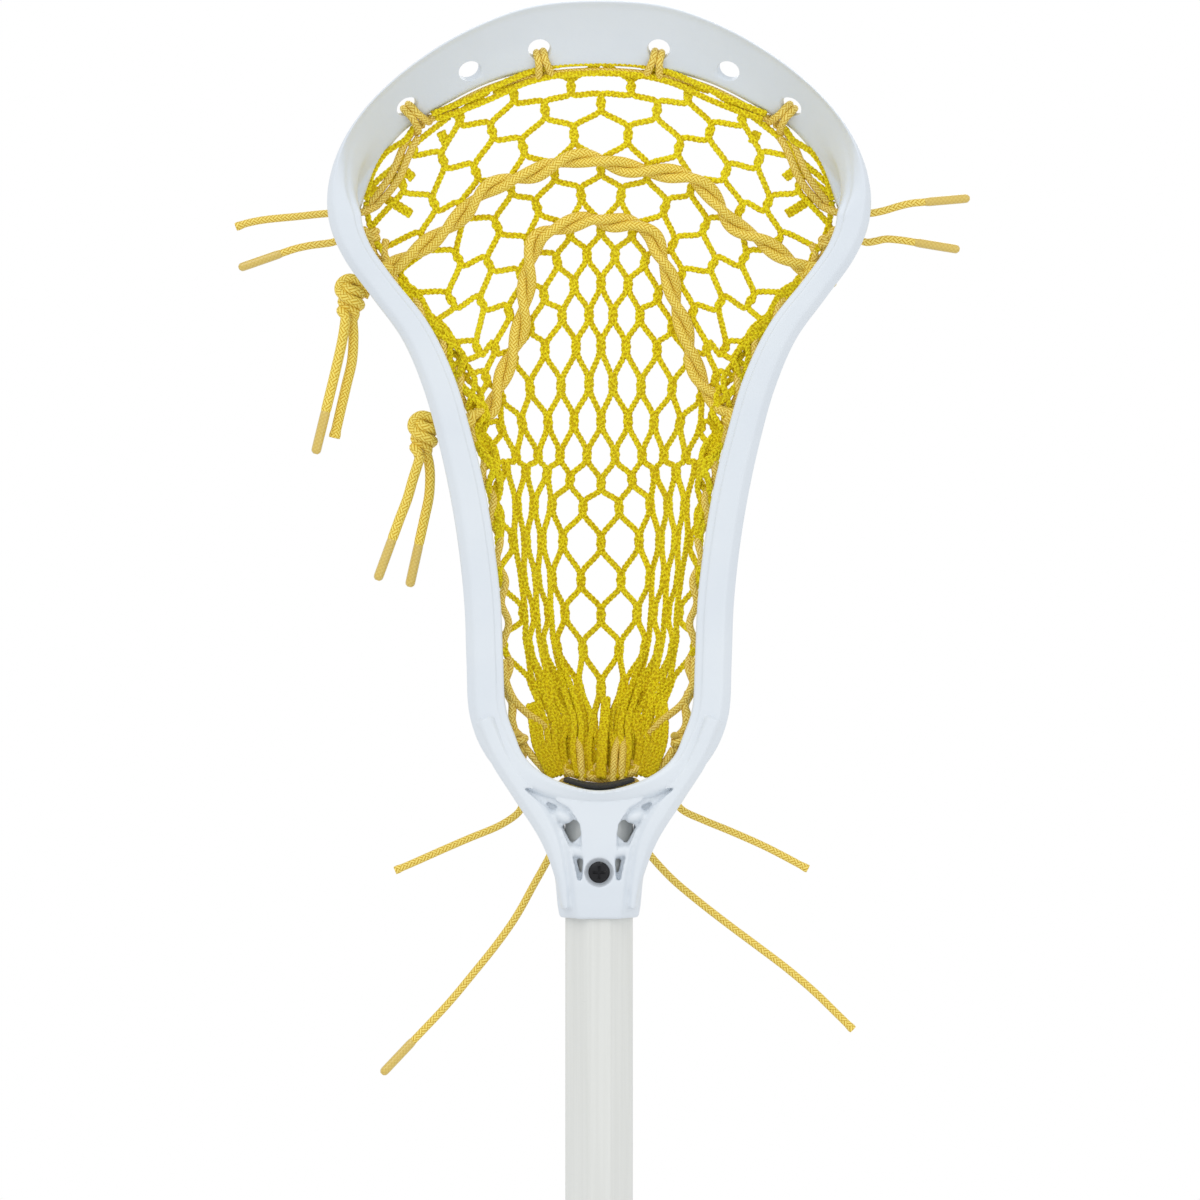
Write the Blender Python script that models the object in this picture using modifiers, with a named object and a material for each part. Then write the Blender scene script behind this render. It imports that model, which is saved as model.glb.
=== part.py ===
"""A women's lacrosse stick: a moulded head with a strung mesh pocket, on an octagonal shaft.

The stick stands upright. The shaft runs up +Z from the butt at the origin, the ball side of the
head faces -Y and the pocket hangs back towards +Y. Lengths are in metres.
"""

import math
from typing import NamedTuple

import bmesh
import bpy
from mathutils import Matrix, Vector

# General clearances
FIT_GAP = 0.0003
CUT_OVERRUN = 0.001
MERGE_DISTANCE = 0.00001
SMOOTH_ANGLE = 35.0
SEARCH_STEPS = 40

# Shaft: an octagonal alloy tube, its bevelled corners wider than its flats
SHAFT_LENGTH = 0.8128
SHAFT_WIDTH = 0.0222
SHAFT_FLAT = 0.0070
SHAFT_WALL = 0.0015

# Butt cap: a rubber cup pushed over the lower end of the shaft
CAP_LENGTH = 0.0320
CAP_WALL = 0.0024
CAP_FLOOR = 0.0035
CAP_ROUNDING = 0.0012

# Socket of the head, a sleeve round the upper end of the shaft
SOCKET_DEPTH = 0.0360
SOCKET_WALL = 0.0022
COLLAR_WALL = 0.0015
COLLAR_HEIGHT = 0.0040
SOCKET_CORNER_SHARE = 0.84
THROAT_WALL = 0.0028
THROAT_DEPTH = SHAFT_WIDTH + 2 * (FIT_GAP + THROAT_WALL)

# Screw that holds the head on the shaft
SCREW_HEIGHT = 0.0153
SCREW_HEAD_DIAMETER = 0.0070
SCREW_HEAD_THICKNESS = 0.0016
SCREW_SHANK_DIAMETER = 0.0030
SCREW_SHANK_LENGTH = 0.0068
SCREW_CROSS_WIDTH = 0.0009
SCREW_CROSS_LENGTH = 0.0042
SCREW_CROSS_DEPTH = 0.0009
SCREW_RECESS_MARGIN = 0.0007

# Band of the scoop and the two rails of the sidewall
BAND_THICKNESS = 0.0034
WEB_THICKNESS = 0.0034
FRONT_RAIL_THICKNESS = 0.0060
BACK_RAIL_THICKNESS = 0.0082
BACK_RAIL_INSET = 0.0022
RIM_ROUNDING = 0.0015
RAIL_BEVEL_SHARE = 0.25
RAIL_FLAT_SHARE = 0.78
SCOOP_HOLLOW = 0.0010
BAND_FACE_SHARES = (0.14, 0.36, 0.58, 0.78, 0.93)
BAND_BACK_SHARES = (0.55, 0.14)

# Holes and windows of the head
SCOOP_HOLE_DIAMETER = 0.0074
SCOOP_HOLE_SHARE = 0.70
LACE_HOLE_CLEARANCE = 0.0009
WINDOW_DEPTH = 0.0100
WINDOW_ROUNDING = 0.0035
WINDOW_CUT = 0.0160

# Strings of the pocket. A shooting string is two strands laid together, tied off in a knot.
LACE_DIAMETER = 0.0025
SHOOTER_DIAMETER = 0.0034
PAIR_DIAMETER = 0.0044
TIP_DIAMETER = 0.0030
TIP_LENGTH = 0.0150
NET_STRAND = 0.0022
POCKET_SAG = 0.0280
LACE_CLEARANCE = 0.0004
PAIR_CLEARANCE = 0.0008
LACE_INSET = 0.0011
LOOP_HALF_WIDTH = 0.0024
KNOT_WIDTH = 0.0096
KNOT_DEPTH = 0.0090
KNOT_HEIGHT = 0.0148

# Spacing of the points along a cord, in its diameters: where its own route is the guide, along a
# held lace and along a free end
ROUTE_SPACING = 2.5
HELD_SPACING = 1.6
TAIL_SPACING = 2.2

# Foam pad on the ball stop
PAD_THICKNESS = 0.0024
PAD_HALF_WIDTH = 0.0114
PAD_DEPTH = 0.0200
PAD_SECTIONS = 8


class Station(NamedTuple):
    """One section of the hoop's right half."""

    half: float
    height: float
    width: float
    front: float
    back: float
    rail: float


# Right half of the hoop, from the crown of the scoop round to the ball stop. Heights are above the
# collar, widths are the rim's as seen from the front, and rail runs from 0 on the scoop's tilted
# band to 1 on the C-shaped sidewall.
HOOP = (
    Station(0.0000, 0.2989, 0.0195, -0.0170, 0.0010, 0.0),
    Station(0.0220, 0.2970, 0.0192, -0.0170, 0.0013, 0.0),
    Station(0.0420, 0.2897, 0.0168, -0.0168, 0.0022, 0.0),
    Station(0.0595, 0.2792, 0.0150, -0.0165, 0.0036, 0.0),
    Station(0.0736, 0.2670, 0.0125, -0.0160, 0.0056, 0.0),
    Station(0.0832, 0.2540, 0.0123, -0.0155, 0.0080, 0.1),
    Station(0.0881, 0.2405, 0.0121, -0.0150, 0.0104, 0.5),
    Station(0.0882, 0.2275, 0.0110, -0.0145, 0.0124, 1.0),
    Station(0.0832, 0.2152, 0.0098, -0.0140, 0.0138, 1.0),
    Station(0.0740, 0.2024, 0.0095, -0.0134, 0.0150, 1.0),
    Station(0.0643, 0.1889, 0.0102, -0.0128, 0.0160, 1.0),
    Station(0.0575, 0.1730, 0.0110, -0.0122, 0.0170, 1.0),
    Station(0.0528, 0.1563, 0.0113, -0.0117, 0.0178, 1.0),
    Station(0.0489, 0.1385, 0.0118, -0.0114, 0.0182, 1.0),
    Station(0.0460, 0.1205, 0.0119, -0.0113, 0.0182, 1.0),
    Station(0.0441, 0.1020, 0.0121, -0.0115, 0.0180, 1.0),
    Station(0.0434, 0.0835, 0.0122, -0.0120, 0.0174, 1.0),
    Station(0.0424, 0.0665, 0.0123, -0.0128, 0.0166, 1.0),
    Station(0.0373, 0.0535, 0.0118, -0.0136, 0.0156, 1.0),
    Station(0.0285, 0.0445, 0.0090, -0.0142, 0.0148, 1.0),
    Station(0.0160, 0.0392, 0.0068, -0.0146, 0.0144, 1.0),
    Station(0.0000, 0.0373, 0.0060, -0.0148, 0.0142, 1.0),
)
HOOP_STEPS = 2
HOOP_END = len(HOOP) - 1.0
SCOOP_END = 6.0
FIRST_RAIL_STATION = 6.5
FOOT_START = 18.0

# Outer edge of the throat's side walls, from inside the rail down into the collar
WALL_EDGE = (
    (0.0408, 0.0640),
    (0.0360, 0.0521),
    (0.0278, 0.0391),
    (0.0194, 0.0260),
    (0.0146, 0.0140),
    (0.0122, 0.0030),
)
WALL_WIDTHS = (0.0080, 0.0085, 0.0085, 0.0078, 0.0050, 0.0030)
WALL_STEPS = 3
WALL_CREST = (0.30, 0.62)
WALL_ROUNDING = 0.0030
WALL_RECESS = 0.0006
WALL_SWELL = 0.0010
WALL_SWELL_HEIGHT = 0.0300

# Half-widths of the socket's block at heights above the collar
BLOCK_HALVES = (
    (0.0000, 0.0000),
    (0.0110, 0.0006),
    (0.0200, 0.0018),
    (0.0300, 0.0044),
    (0.0395, 0.0070),
)

# Openings beside the throat's tongue, in half-width and height. What is left between them is the
# pair of struts.
THROAT_WINDOWS = (
    ((0.0172, 0.0392), (0.0118, 0.0369), (0.0146, 0.0340)),
    ((0.0122, 0.0305), (0.0072, 0.0328), (0.0064, 0.0262), (0.0086, 0.0245)),
    ((0.0076, 0.0205), (0.0052, 0.0196), (0.0050, 0.0142), (0.0058, 0.0138)),
)

# Distances along the rim from the crown to the scoop's holes, and heights of the sidewall's holes
SCOOP_HOLES = (0.0198, 0.0452, 0.0700)
LACED_SCOOP_HOLES = (0.0198, 0.0700)
TOP_LACE_EXIT = 0.2320
SIDE_LACE_EXIT = 0.2230
UPPER_SHOOTER_EXIT = 0.2082
LOWER_SHOOTER_EXIT = 0.1611
STRING_HOLES = (0.1900, 0.1780, 0.1520, 0.1380, 0.1240, 0.1100, 0.0960, 0.0820, 0.0680)
WINDOW_HEIGHTS = (0.1960, 0.1575, 0.1170, 0.0790)
WINDOW_LENGTHS = (0.0240, 0.0280, 0.0280, 0.0240)


class NetRow(NamedTuple):
    """A row of the net: its height in the middle, its fall at the edge and its middle spread."""

    height: float
    fall: float
    spread: float


# Guide rows of the net from the scoop to the ball stop. The rows between follow them smoothly.
NET_GUIDES = (
    NetRow(0.2760, 0.0230, 1.14),
    NetRow(0.2493, 0.0255, 1.12),
    NetRow(0.2231, 0.0240, 0.98),
    NetRow(0.1981, 0.0190, 0.86),
    NetRow(0.1685, 0.0070, 0.92),
    NetRow(0.1411, -0.0035, 1.15),
    NetRow(0.1144, -0.0010, 1.40),
    NetRow(0.0840, 0.0000, 1.25),
    NetRow(0.0554, 0.0000, 1.00),
)
NET_ROWS = 22
NET_COLUMNS = 10
NET_BAR_SHARE = 0.42
NET_TOP_REACH = 0.0640
NET_FOOT_REACH = 0.0200

# Depth of the pocket at heights above the collar, as a share of its full sag
SAG_GUIDES = (
    (0.2800, 0.00),
    (0.2400, 0.20),
    (0.2000, 0.48),
    (0.1600, 0.82),
    (0.1150, 1.00),
    (0.0850, 0.88),
    (0.0600, 0.45),
    (0.0450, 0.00),
)

# Centre lines of the shooting strings across the net, in half-width and height from the left
# sidewall to the right
UPPER_SHOOTER = (
    (-0.0560, 0.2215),
    (-0.0440, 0.2310),
    (-0.0300, 0.2420),
    (-0.0130, 0.2486),
    (0.0030, 0.2500),
    (0.0190, 0.2480),
    (0.0340, 0.2415),
    (0.0460, 0.2305),
    (0.0580, 0.2205),
)
LOWER_SHOOTER = (
    (-0.0360, 0.1700),
    (-0.0305, 0.1840),
    (-0.0255, 0.2010),
    (-0.0205, 0.2180),
    (-0.0115, 0.2275),
    (0.0020, 0.2300),
    (0.0155, 0.2260),
    (0.0235, 0.2140),
    (0.0275, 0.1970),
    (0.0325, 0.1800),
    (0.0375, 0.1690),
)

# How far inside the rail's outer edge a shooting string meets its knot
KNOT_INSET = 0.0008

# The lace's turn over the hoop's back edge, in stations: where it starts past the foot of the seam
# and its step, and the same for the bottom lace, counted from the middle of the ball stop
SIDE_TURN_START = 0.25
SIDE_TURN_STEP = 0.12
BOTTOM_POINTS = 4
BOTTOM_STEP = 0.17
BOTTOM_TURN_STEP = -0.10

# Stations that the top lace leaves free before its exit, and its points from the last scoop hole
TOP_LACE_MARGIN = 0.5
TOP_LACE_POINTS = 5
LOOP_CORNER_SHARE = 0.8

# Ends of the held laces, in half-width, depth and height above the collar, on the right
SIDE_LACE_FOOT = ((0.0254, 0.0165, 0.0435),)
BOTTOM_LACE_FOOT = (
    (0.0118, 0.0163, 0.0365),
    (0.0130, 0.0163, 0.0300),
    (0.0144, 0.0163, 0.0240),
)

# Heights where the sidewall lace starts down the rail and where it turns over the back edge, how
# far inside a hole's mouth a held lace ends, and how much of the rail's lean a knot takes
SIDE_LACE_TOP = 0.2190
SIDE_LACE_TURN = 0.0560
HELD_END_INSET = 0.0012
KNOT_LEAN_SHARE = 0.3


class Tail(NamedTuple):
    """A free end of a lace: its thickness, its route and whether it ends in a tip."""

    name: str
    diameter: float
    tipped: bool
    route: tuple


# Free ends of the laces, in half-width, depth and height above the collar, from where each leaves
# the head
TAILS = (
    Tail("top_left", LACE_DIAMETER, False, (
        (-0.0878, 0.0077, 0.2321),
        (-0.0930, 0.0078, 0.2317),
        (-0.0998, 0.0080, 0.2310),
        (-0.1103, 0.0083, 0.2300),
        (-0.1164, 0.0086, 0.2289),
        (-0.1204, 0.0088, 0.2276),
    )),
    Tail("side_left", LACE_DIAMETER, True, (
        (-0.0861, 0.0089, 0.2233),
        (-0.0888, 0.0090, 0.2224),
        (-0.0925, 0.0091, 0.2219),
        (-0.0962, 0.0091, 0.2214),
        (-0.1008, 0.0092, 0.2204),
        (-0.1051, 0.0094, 0.2190),
    )),
    Tail("top_right", LACE_DIAMETER, True, (
        (0.0878, 0.0077, 0.2321),
        (0.0905, 0.0078, 0.2321),
        (0.0944, 0.0080, 0.2329),
        (0.0987, 0.0080, 0.2342),
        (0.1031, 0.0083, 0.2353),
        (0.1077, 0.0086, 0.2358),
    )),
    Tail("side_right", LACE_DIAMETER, True, (
        (0.0861, 0.0089, 0.2233),
        (0.0888, 0.0090, 0.2225),
        (0.0916, 0.0091, 0.2229),
        (0.0952, 0.0091, 0.2236),
        (0.0998, 0.0093, 0.2233),
        (0.1045, 0.0095, 0.2226),
    )),
    Tail("upper_outer", SHOOTER_DIAMETER, True, (
        (-0.0839, 0.0074, 0.1975),
        (-0.0845, 0.0073, 0.1930),
        (-0.0854, 0.0072, 0.1880),
        (-0.0875, 0.0070, 0.1787),
        (-0.0903, 0.0068, 0.1671),
    )),
    Tail("upper_inner", SHOOTER_DIAMETER, False, (
        (-0.0820, 0.0112, 0.1975),
        (-0.0816, 0.0110, 0.1912),
        (-0.0821, 0.0108, 0.1832),
        (-0.0839, 0.0106, 0.1753),
        (-0.0859, 0.0104, 0.1666),
        (-0.0879, 0.0102, 0.1577),
    )),
    Tail("lower_outer", SHOOTER_DIAMETER, True, (
        (-0.0593, 0.0105, 0.1521),
        (-0.0602, 0.0105, 0.1490),
        (-0.0618, 0.0105, 0.1440),
        (-0.0637, 0.0104, 0.1374),
        (-0.0661, 0.0102, 0.1311),
        (-0.0684, 0.0100, 0.1248),
    )),
    Tail("lower_inner", SHOOTER_DIAMETER, True, (
        (-0.0573, 0.0143, 0.1521),
        (-0.0566, 0.0142, 0.1490),
        (-0.0563, 0.0142, 0.1448),
        (-0.0567, 0.0142, 0.1382),
        (-0.0583, 0.0140, 0.1305),
        (-0.0599, 0.0140, 0.1232),
    )),
    Tail("foot_left", LACE_DIAMETER, False, (
        (-0.0254, 0.0165, 0.0432),
        (-0.0251, 0.0164, 0.0395),
        (-0.0253, 0.0164, 0.0366),
        (-0.0272, 0.0164, 0.0327),
        (-0.0335, 0.0163, 0.0285),
        (-0.0434, 0.0158, 0.0244),
        (-0.0532, 0.0150, 0.0202),
        (-0.0618, 0.0144, 0.0164),
        (-0.0680, 0.0140, 0.0138),
    )),
    Tail("foot_right", LACE_DIAMETER, False, (
        (0.0254, 0.0165, 0.0432),
        (0.0251, 0.0164, 0.0398),
        (0.0254, 0.0164, 0.0370),
        (0.0281, 0.0164, 0.0336),
        (0.0352, 0.0163, 0.0303),
        (0.0450, 0.0158, 0.0263),
        (0.0564, 0.0150, 0.0212),
        (0.0696, 0.0140, 0.0143),
    )),
    Tail("long_left", LACE_DIAMETER, True, (
        (-0.0145, 0.0163, 0.0237),
        (-0.0155, 0.0164, 0.0206),
        (-0.0175, 0.0164, 0.0165),
        (-0.0216, 0.0164, 0.0092),
        (-0.0275, 0.0160, -0.0014),
        (-0.0341, 0.0152, -0.0108),
        (-0.0420, 0.0142, -0.0206),
        (-0.0505, 0.0130, -0.0307),
        (-0.0616, 0.0115, -0.0424),
    )),
    Tail("long_right", LACE_DIAMETER, False, (
        (0.0145, 0.0163, 0.0237),
        (0.0157, 0.0164, 0.0207),
        (0.0186, 0.0164, 0.0169),
        (0.0248, 0.0164, 0.0104),
        (0.0334, 0.0160, 0.0032),
        (0.0426, 0.0152, -0.0039),
        (0.0530, 0.0142, -0.0116),
        (0.0621, 0.0130, -0.0184),
        (0.0712, 0.0118, -0.0260),
        (0.0792, 0.0106, -0.0337),
        (0.0843, 0.0100, -0.0387),
    )),
)

SIDE_NAMES = {-1: "left", 1: "right"}
SHAFT_FOOT = CAP_FLOOR + FIT_GAP
COLLAR_Z = SHAFT_FOOT + SHAFT_LENGTH - SOCKET_DEPTH

# How far in from the hoop's inner edge the laces' centres run, and the net's outer strands
LACE_SEAT = LACE_DIAMETER / 2 + LACE_CLEARANCE
NET_SEAT = LACE_SEAT + LACE_DIAMETER / 2 + FIT_GAP + NET_STRAND / 2


def clear_scene():
    """Empty the file of its objects."""
    for found in list(bpy.data.objects):
        bpy.data.objects.remove(found, do_unlink=True)


def new_collection(name, hidden=False):
    """A collection under the scene's own."""
    made = bpy.data.collections.new(name)
    made.hide_render = hidden
    bpy.context.scene.collection.children.link(made)
    return made


def new_material(name, color, roughness, metallic=0.0):
    """A Principled material."""
    made = bpy.data.materials.new(name)
    made.use_nodes = True
    made.diffuse_color = (*color, 1.0)
    shader = made.node_tree.nodes["Principled BSDF"]
    shader.inputs["Base Color"].default_value = (*color, 1.0)
    shader.inputs["Roughness"].default_value = roughness
    shader.inputs["Metallic"].default_value = metallic
    return made


clear_scene()
PARTS = new_collection("womens_lacrosse_stick")
CUTTERS = new_collection("cutters", hidden=True)
NYLON_WHITE = new_material("moulded_nylon", (0.80, 0.83, 0.86), 0.35)
ALLOY_WHITE = new_material("painted_alloy", (0.78, 0.79, 0.77), 0.40)
CAP_RUBBER = new_material("cap_rubber", (0.03, 0.03, 0.03), 0.80)
FOAM_BLACK = new_material("pad_foam", (0.02, 0.02, 0.02), 0.95)
SCREW_STEEL = new_material("screw_steel", (0.05, 0.05, 0.05), 0.45, 0.9)
MESH_YELLOW = new_material("mesh_cord", (0.75, 0.62, 0.04), 0.75)
LACE_YELLOW = new_material("lace_cord", (0.80, 0.56, 0.13), 0.75)
TIP_PLASTIC = new_material("lace_tip", (0.72, 0.58, 0.25), 0.30)


def new_object(name, data, material, place=PARTS):
    """An object of this data with its material, in the part's or the cutters' collection."""
    made = bpy.data.objects.new(name, data)
    if material:
        data.materials.append(material)
    place.objects.link(made)
    if place is CUTTERS:
        made.hide_render = True
        made.display_type = "WIRE"
    return made


def mesh_object(name, shape, material, place=PARTS):
    """An object from a bmesh, which is freed."""
    bmesh.ops.recalc_face_normals(shape, faces=shape.faces)
    data = bpy.data.meshes.new(name)
    shape.to_mesh(data)
    shape.free()
    return new_object(name, data, material, place)


def shade_round(made):
    """Shade a mesh smooth, but for its sharp edges."""
    made.data.shade_smooth()
    made.data.set_sharp_from_angle(angle=math.radians(SMOOTH_ANGLE))
    return made


def boolean(target, other, operation="DIFFERENCE"):
    """Cut, or join, another object."""
    step = target.modifiers.new(f"{operation.lower()}_{other.name}", "BOOLEAN")
    step.operation = operation
    step.object = other
    step.solver = "EXACT"


def octagonal_bar(name, width, flat, low, high, material=None, place=CUTTERS):
    """An upright bar of square section whose corners are bevelled down to this width of flat."""
    shape = bmesh.new()
    bmesh.ops.create_cube(shape, size=1.0)
    bmesh.ops.scale(shape, verts=shape.verts, vec=(width, width, high - low))
    bmesh.ops.translate(shape, verts=shape.verts, vec=(0.0, 0.0, (low + high) / 2))
    upright = [e for e in shape.edges if abs(e.verts[0].co.z - e.verts[1].co.z) > (high - low) / 2]
    bmesh.ops.bevel(
        shape,
        geom=upright,
        offset=(width - flat) / 2,
        offset_type="OFFSET",
        segments=1,
        profile=0.5,
        affect="EDGES",
    )
    return mesh_object(name, shape, material, place)


def flat_growing_by(wall):
    """Width of the flats of an octagon this far outside the shaft's."""
    return SHAFT_FLAT + 2 * wall * math.tan(math.radians(22.5))


def cylinder(name, diameter, length, centre, axis, sides, place=CUTTERS, material=None):
    """A cylinder round an axis through its centre."""
    shape = bmesh.new()
    turn = Vector((0.0, 0.0, 1.0)).rotation_difference(Vector(axis)).to_matrix().to_4x4()
    bmesh.ops.create_cone(
        shape,
        cap_ends=True,
        segments=sides,
        radius1=diameter / 2,
        radius2=diameter / 2,
        depth=length,
        matrix=Matrix.Translation(centre) @ turn,
    )
    return mesh_object(name, shape, material, place)


def loft(rings, closed=False):
    """A skin through rings of the same number of points, capped at both ends or closed on itself."""
    shape = bmesh.new()
    loops = [[shape.verts.new(point) for point in ring] for ring in rings]
    pairs = list(zip(loops, loops[1:]))
    if closed:
        pairs.append((loops[-1], loops[0]))
    for lower, upper in pairs:
        for i, vert in enumerate(lower):
            after = (i + 1) % len(lower)
            shape.faces.new((vert, lower[after], upper[after], upper[i]))
    return shape, loops


def cap(shape, loops):
    """Close the two ends of a loft."""
    shape.faces.new(loops[0])
    shape.faces.new(loops[-1])


def spline(values, position):
    """Catmull-Rom through rows of numbers, at a position counted in rows."""
    last = len(values) - 1
    start = min(max(int(position), 0), last - 1)
    share = position - start
    rows = [values[min(max(start + k, 0), last)] for k in (-1, 0, 1, 2)]
    if start == 0:
        rows[0] = tuple(2 * a - b for a, b in zip(rows[1], rows[2]))
    if start == last - 1:
        rows[3] = tuple(2 * a - b for a, b in zip(rows[2], rows[1]))
    return tuple(
        b
        + 0.5
        * share
        * (c - a + share * (2 * a - 5 * b + 4 * c - d + share * (3 * (b - c) + d - a)))
        for a, b, c, d in zip(*rows)
    )


def between(guides, at):
    """Smooth value of a (place, value) guide list, whose places fall steadily."""
    if at >= guides[0][0]:
        return guides[0][1]
    for k in range(len(guides) - 1):
        high, low = guides[k][0], guides[k + 1][0]
        if at >= low:
            return spline([g[1:] for g in guides], k + (high - at) / (high - low))[0]
    return guides[-1][1]


def hoop_at(position):
    """The hoop's station at a position counted in stations, even across the mirror plane."""
    count = len(HOOP)
    crown = HOOP[1]._replace(half=-HOOP[1].half)
    foot = HOOP[-2]._replace(half=-HOOP[-2].half)
    values = spline((crown, *HOOP, foot), min(max(position, 0.0), count - 1) + 1)
    return Station(*values)


def outward_at(position):
    """The direction out of the hoop, in its own plane, as (half, height)."""
    reach = 0.02
    before = hoop_at(position - reach)
    after = hoop_at(position + reach)
    if position - reach < 0 or position + reach > HOOP_END:
        return (0.0, 1.0) if position < 1 else (0.0, -1.0)
    along = Vector((after.half - before.half, after.height - before.height)).normalized()
    return (-along.y, along.x)


def rim_point(position, inward, depth):
    """A point of the right half of the hoop: this far in from the outer edge, at this depth."""
    station = hoop_at(position)
    out_half, out_height = outward_at(position)
    return Vector(
        (
            station.half - inward * out_half,
            depth,
            COLLAR_Z + station.height - inward * out_height,
        )
    )


def scoop_face(station, share):
    """Depth of the front of the scoop's tilted band, this share of the way in from the lip."""
    hollow = SCOOP_HOLLOW * math.sin(math.pi * share)
    return station.front + share * (station.back - BAND_THICKNESS - station.front) + hollow


def band_section(station):
    """Section of the scoop's tilted band, as (inward, depth), from the lip round to the back."""
    width, front, back = station.width, station.front, station.back
    face = [(share * width, scoop_face(station, share)) for share in BAND_FACE_SHARES]
    behind = [
        (share * width, scoop_face(station, share) + BAND_THICKNESS) for share in BAND_BACK_SHARES
    ]
    lip = [(0.0, front + 1.7 * RIM_ROUNDING), (0.6 * RIM_ROUNDING, front)]
    edge = [
        (width - 0.3 * RIM_ROUNDING, back - BAND_THICKNESS),
        (width, back - 0.5 * BAND_THICKNESS),
        (width - 0.4 * RIM_ROUNDING, back),
    ]
    return [*lip, *face, *edge, *behind]


def rail_section(station):
    """C-shaped section of a rail, as (inward, depth): front rail, web and back rail."""
    width, front, back = station.width, station.front, station.back
    inner = width - BACK_RAIL_INSET
    return [
        (0.0, front + 2.4 * RIM_ROUNDING),
        (RAIL_BEVEL_SHARE * width, front),
        (RAIL_FLAT_SHARE * width, front + 0.2 * RIM_ROUNDING),
        (width, front + 1.7 * RIM_ROUNDING),
        (width - 0.2 * RIM_ROUNDING, front + FRONT_RAIL_THICKNESS - RIM_ROUNDING),
        (WEB_THICKNESS + 0.5 * RIM_ROUNDING, front + FRONT_RAIL_THICKNESS + 0.4 * RIM_ROUNDING),
        (WEB_THICKNESS + 0.7 * RIM_ROUNDING, back - BACK_RAIL_THICKNESS - 0.5 * RIM_ROUNDING),
        (inner, back - BACK_RAIL_THICKNESS + 0.3 * RIM_ROUNDING),
        (inner, back - RIM_ROUNDING),
        (inner - RIM_ROUNDING, back),
        (1.7 * RIM_ROUNDING, back),
        (0.7 * RIM_ROUNDING, back - 1.3 * RIM_ROUNDING),
    ]


def hoop_ring(position):
    """Points of the hoop's section at a position."""
    station = hoop_at(position)
    share = min(max(station.rail, 0.0), 1.0)
    pairs = zip(band_section(station), rail_section(station))
    return [
        rim_point(position, a[0] + share * (b[0] - a[0]), a[1] + share * (b[1] - a[1]))
        for a, b in pairs
    ]


def mirror_across(target):
    """Mirror a right half across the plane of the stick."""
    step = target.modifiers.new("mirror", "MIRROR")
    step.use_axis = (True, False, False)
    step.use_mirror_merge = True
    step.merge_threshold = MERGE_DISTANCE


def make_hoop():
    """The closed hoop of scoop, rails and ball stop, half of it mirrored."""
    count = (len(HOOP) - 1) * HOOP_STEPS
    shape, _ = loft([hoop_ring(k / HOOP_STEPS) for k in range(count + 1)])
    made = shade_round(mesh_object("head_frame", shape, NYLON_WHITE))
    mirror_across(made)
    return made


def make_throat_walls():
    """The two side walls that run from the rails down to the collar."""
    rings = []
    count = (len(WALL_EDGE) - 1) * WALL_STEPS
    for k in range(count + 1):
        at = k / WALL_STEPS
        half, height = spline(WALL_EDGE, at)
        width = spline([(w,) for w in WALL_WIDTHS], at)[0]
        before = Vector(spline(WALL_EDGE, max(at - 0.05, 0.0)))
        after = Vector(spline(WALL_EDGE, min(at + 0.05, len(WALL_EDGE) - 1)))
        along = (after - before).normalized()
        inward = Vector((along.y, -along.x))
        swell = WALL_SWELL * min(height / WALL_SWELL_HEIGHT, 1.0)
        depth = THROAT_DEPTH / 2 - WALL_RECESS + swell
        side = depth - WALL_ROUNDING
        outer, inner = (share * width for share in WALL_CREST)
        outline = (
            (0.0, -side),
            (outer, -depth),
            (inner, -depth),
            (width, -side),
            (width, side),
            (inner, depth),
            (outer, depth),
            (0.0, side),
        )
        rings.append(
            [(half + i * inward.x, y, COLLAR_Z + height + i * inward.y) for i, y in outline]
        )
    shape, loops = loft(rings)
    cap(shape, loops)
    made = mesh_object("throat_walls", shape, None, CUTTERS)
    mirror_across(made)
    return made


def make_socket_block():
    """The block round the shaft's end, from the collar up to the ball stop."""
    collar_half = SHAFT_WIDTH / 2 + FIT_GAP + COLLAR_WALL
    socket_half = SHAFT_WIDTH / 2 + FIT_GAP + SOCKET_WALL
    depth = THROAT_DEPTH / 2
    sections = [(0.0, collar_half, collar_half), (COLLAR_HEIGHT, socket_half, socket_half)]
    sections += [
        (height, socket_half + more, depth)
        for height, more in BLOCK_HALVES
        if height > COLLAR_HEIGHT
    ]
    rings = []
    for height, half, reach in sections:
        corner = SOCKET_CORNER_SHARE * (SHAFT_WIDTH - SHAFT_FLAT) / 2
        outline = (
            (half, -reach + corner),
            (half, reach - corner),
            (half - corner, reach),
            (-half + corner, reach),
            (-half, reach - corner),
            (-half, -reach + corner),
            (-half + corner, -reach),
            (half - corner, -reach),
        )
        rings.append([(x, y, COLLAR_Z + height) for x, y in outline])
    shape, loops = loft(rings)
    cap(shape, loops)
    return mesh_object("socket_block", shape, None, CUTTERS)


def outline_cutter(name, outline, low, high):
    """A cutter with this outline in half-width and height, through these depths."""
    shape = bmesh.new()
    loops = []
    for depth in (low, high):
        loops.append([shape.verts.new((x, depth, COLLAR_Z + z)) for x, z in outline])
    for i in range(len(outline)):
        after = (i + 1) % len(outline)
        shape.faces.new((loops[0][i], loops[0][after], loops[1][after], loops[1][i]))
    cap(shape, loops)
    return mesh_object(name, shape, None, CUTTERS)


def rail_position(height):
    """Where along the hoop the outer edge of the sidewall passes this height."""
    low, high = FIRST_RAIL_STATION, HOOP_END
    for _ in range(SEARCH_STEPS):
        middle = (low + high) / 2
        if hoop_at(middle).height > height:
            low = middle
        else:
            high = middle
    return low


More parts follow.
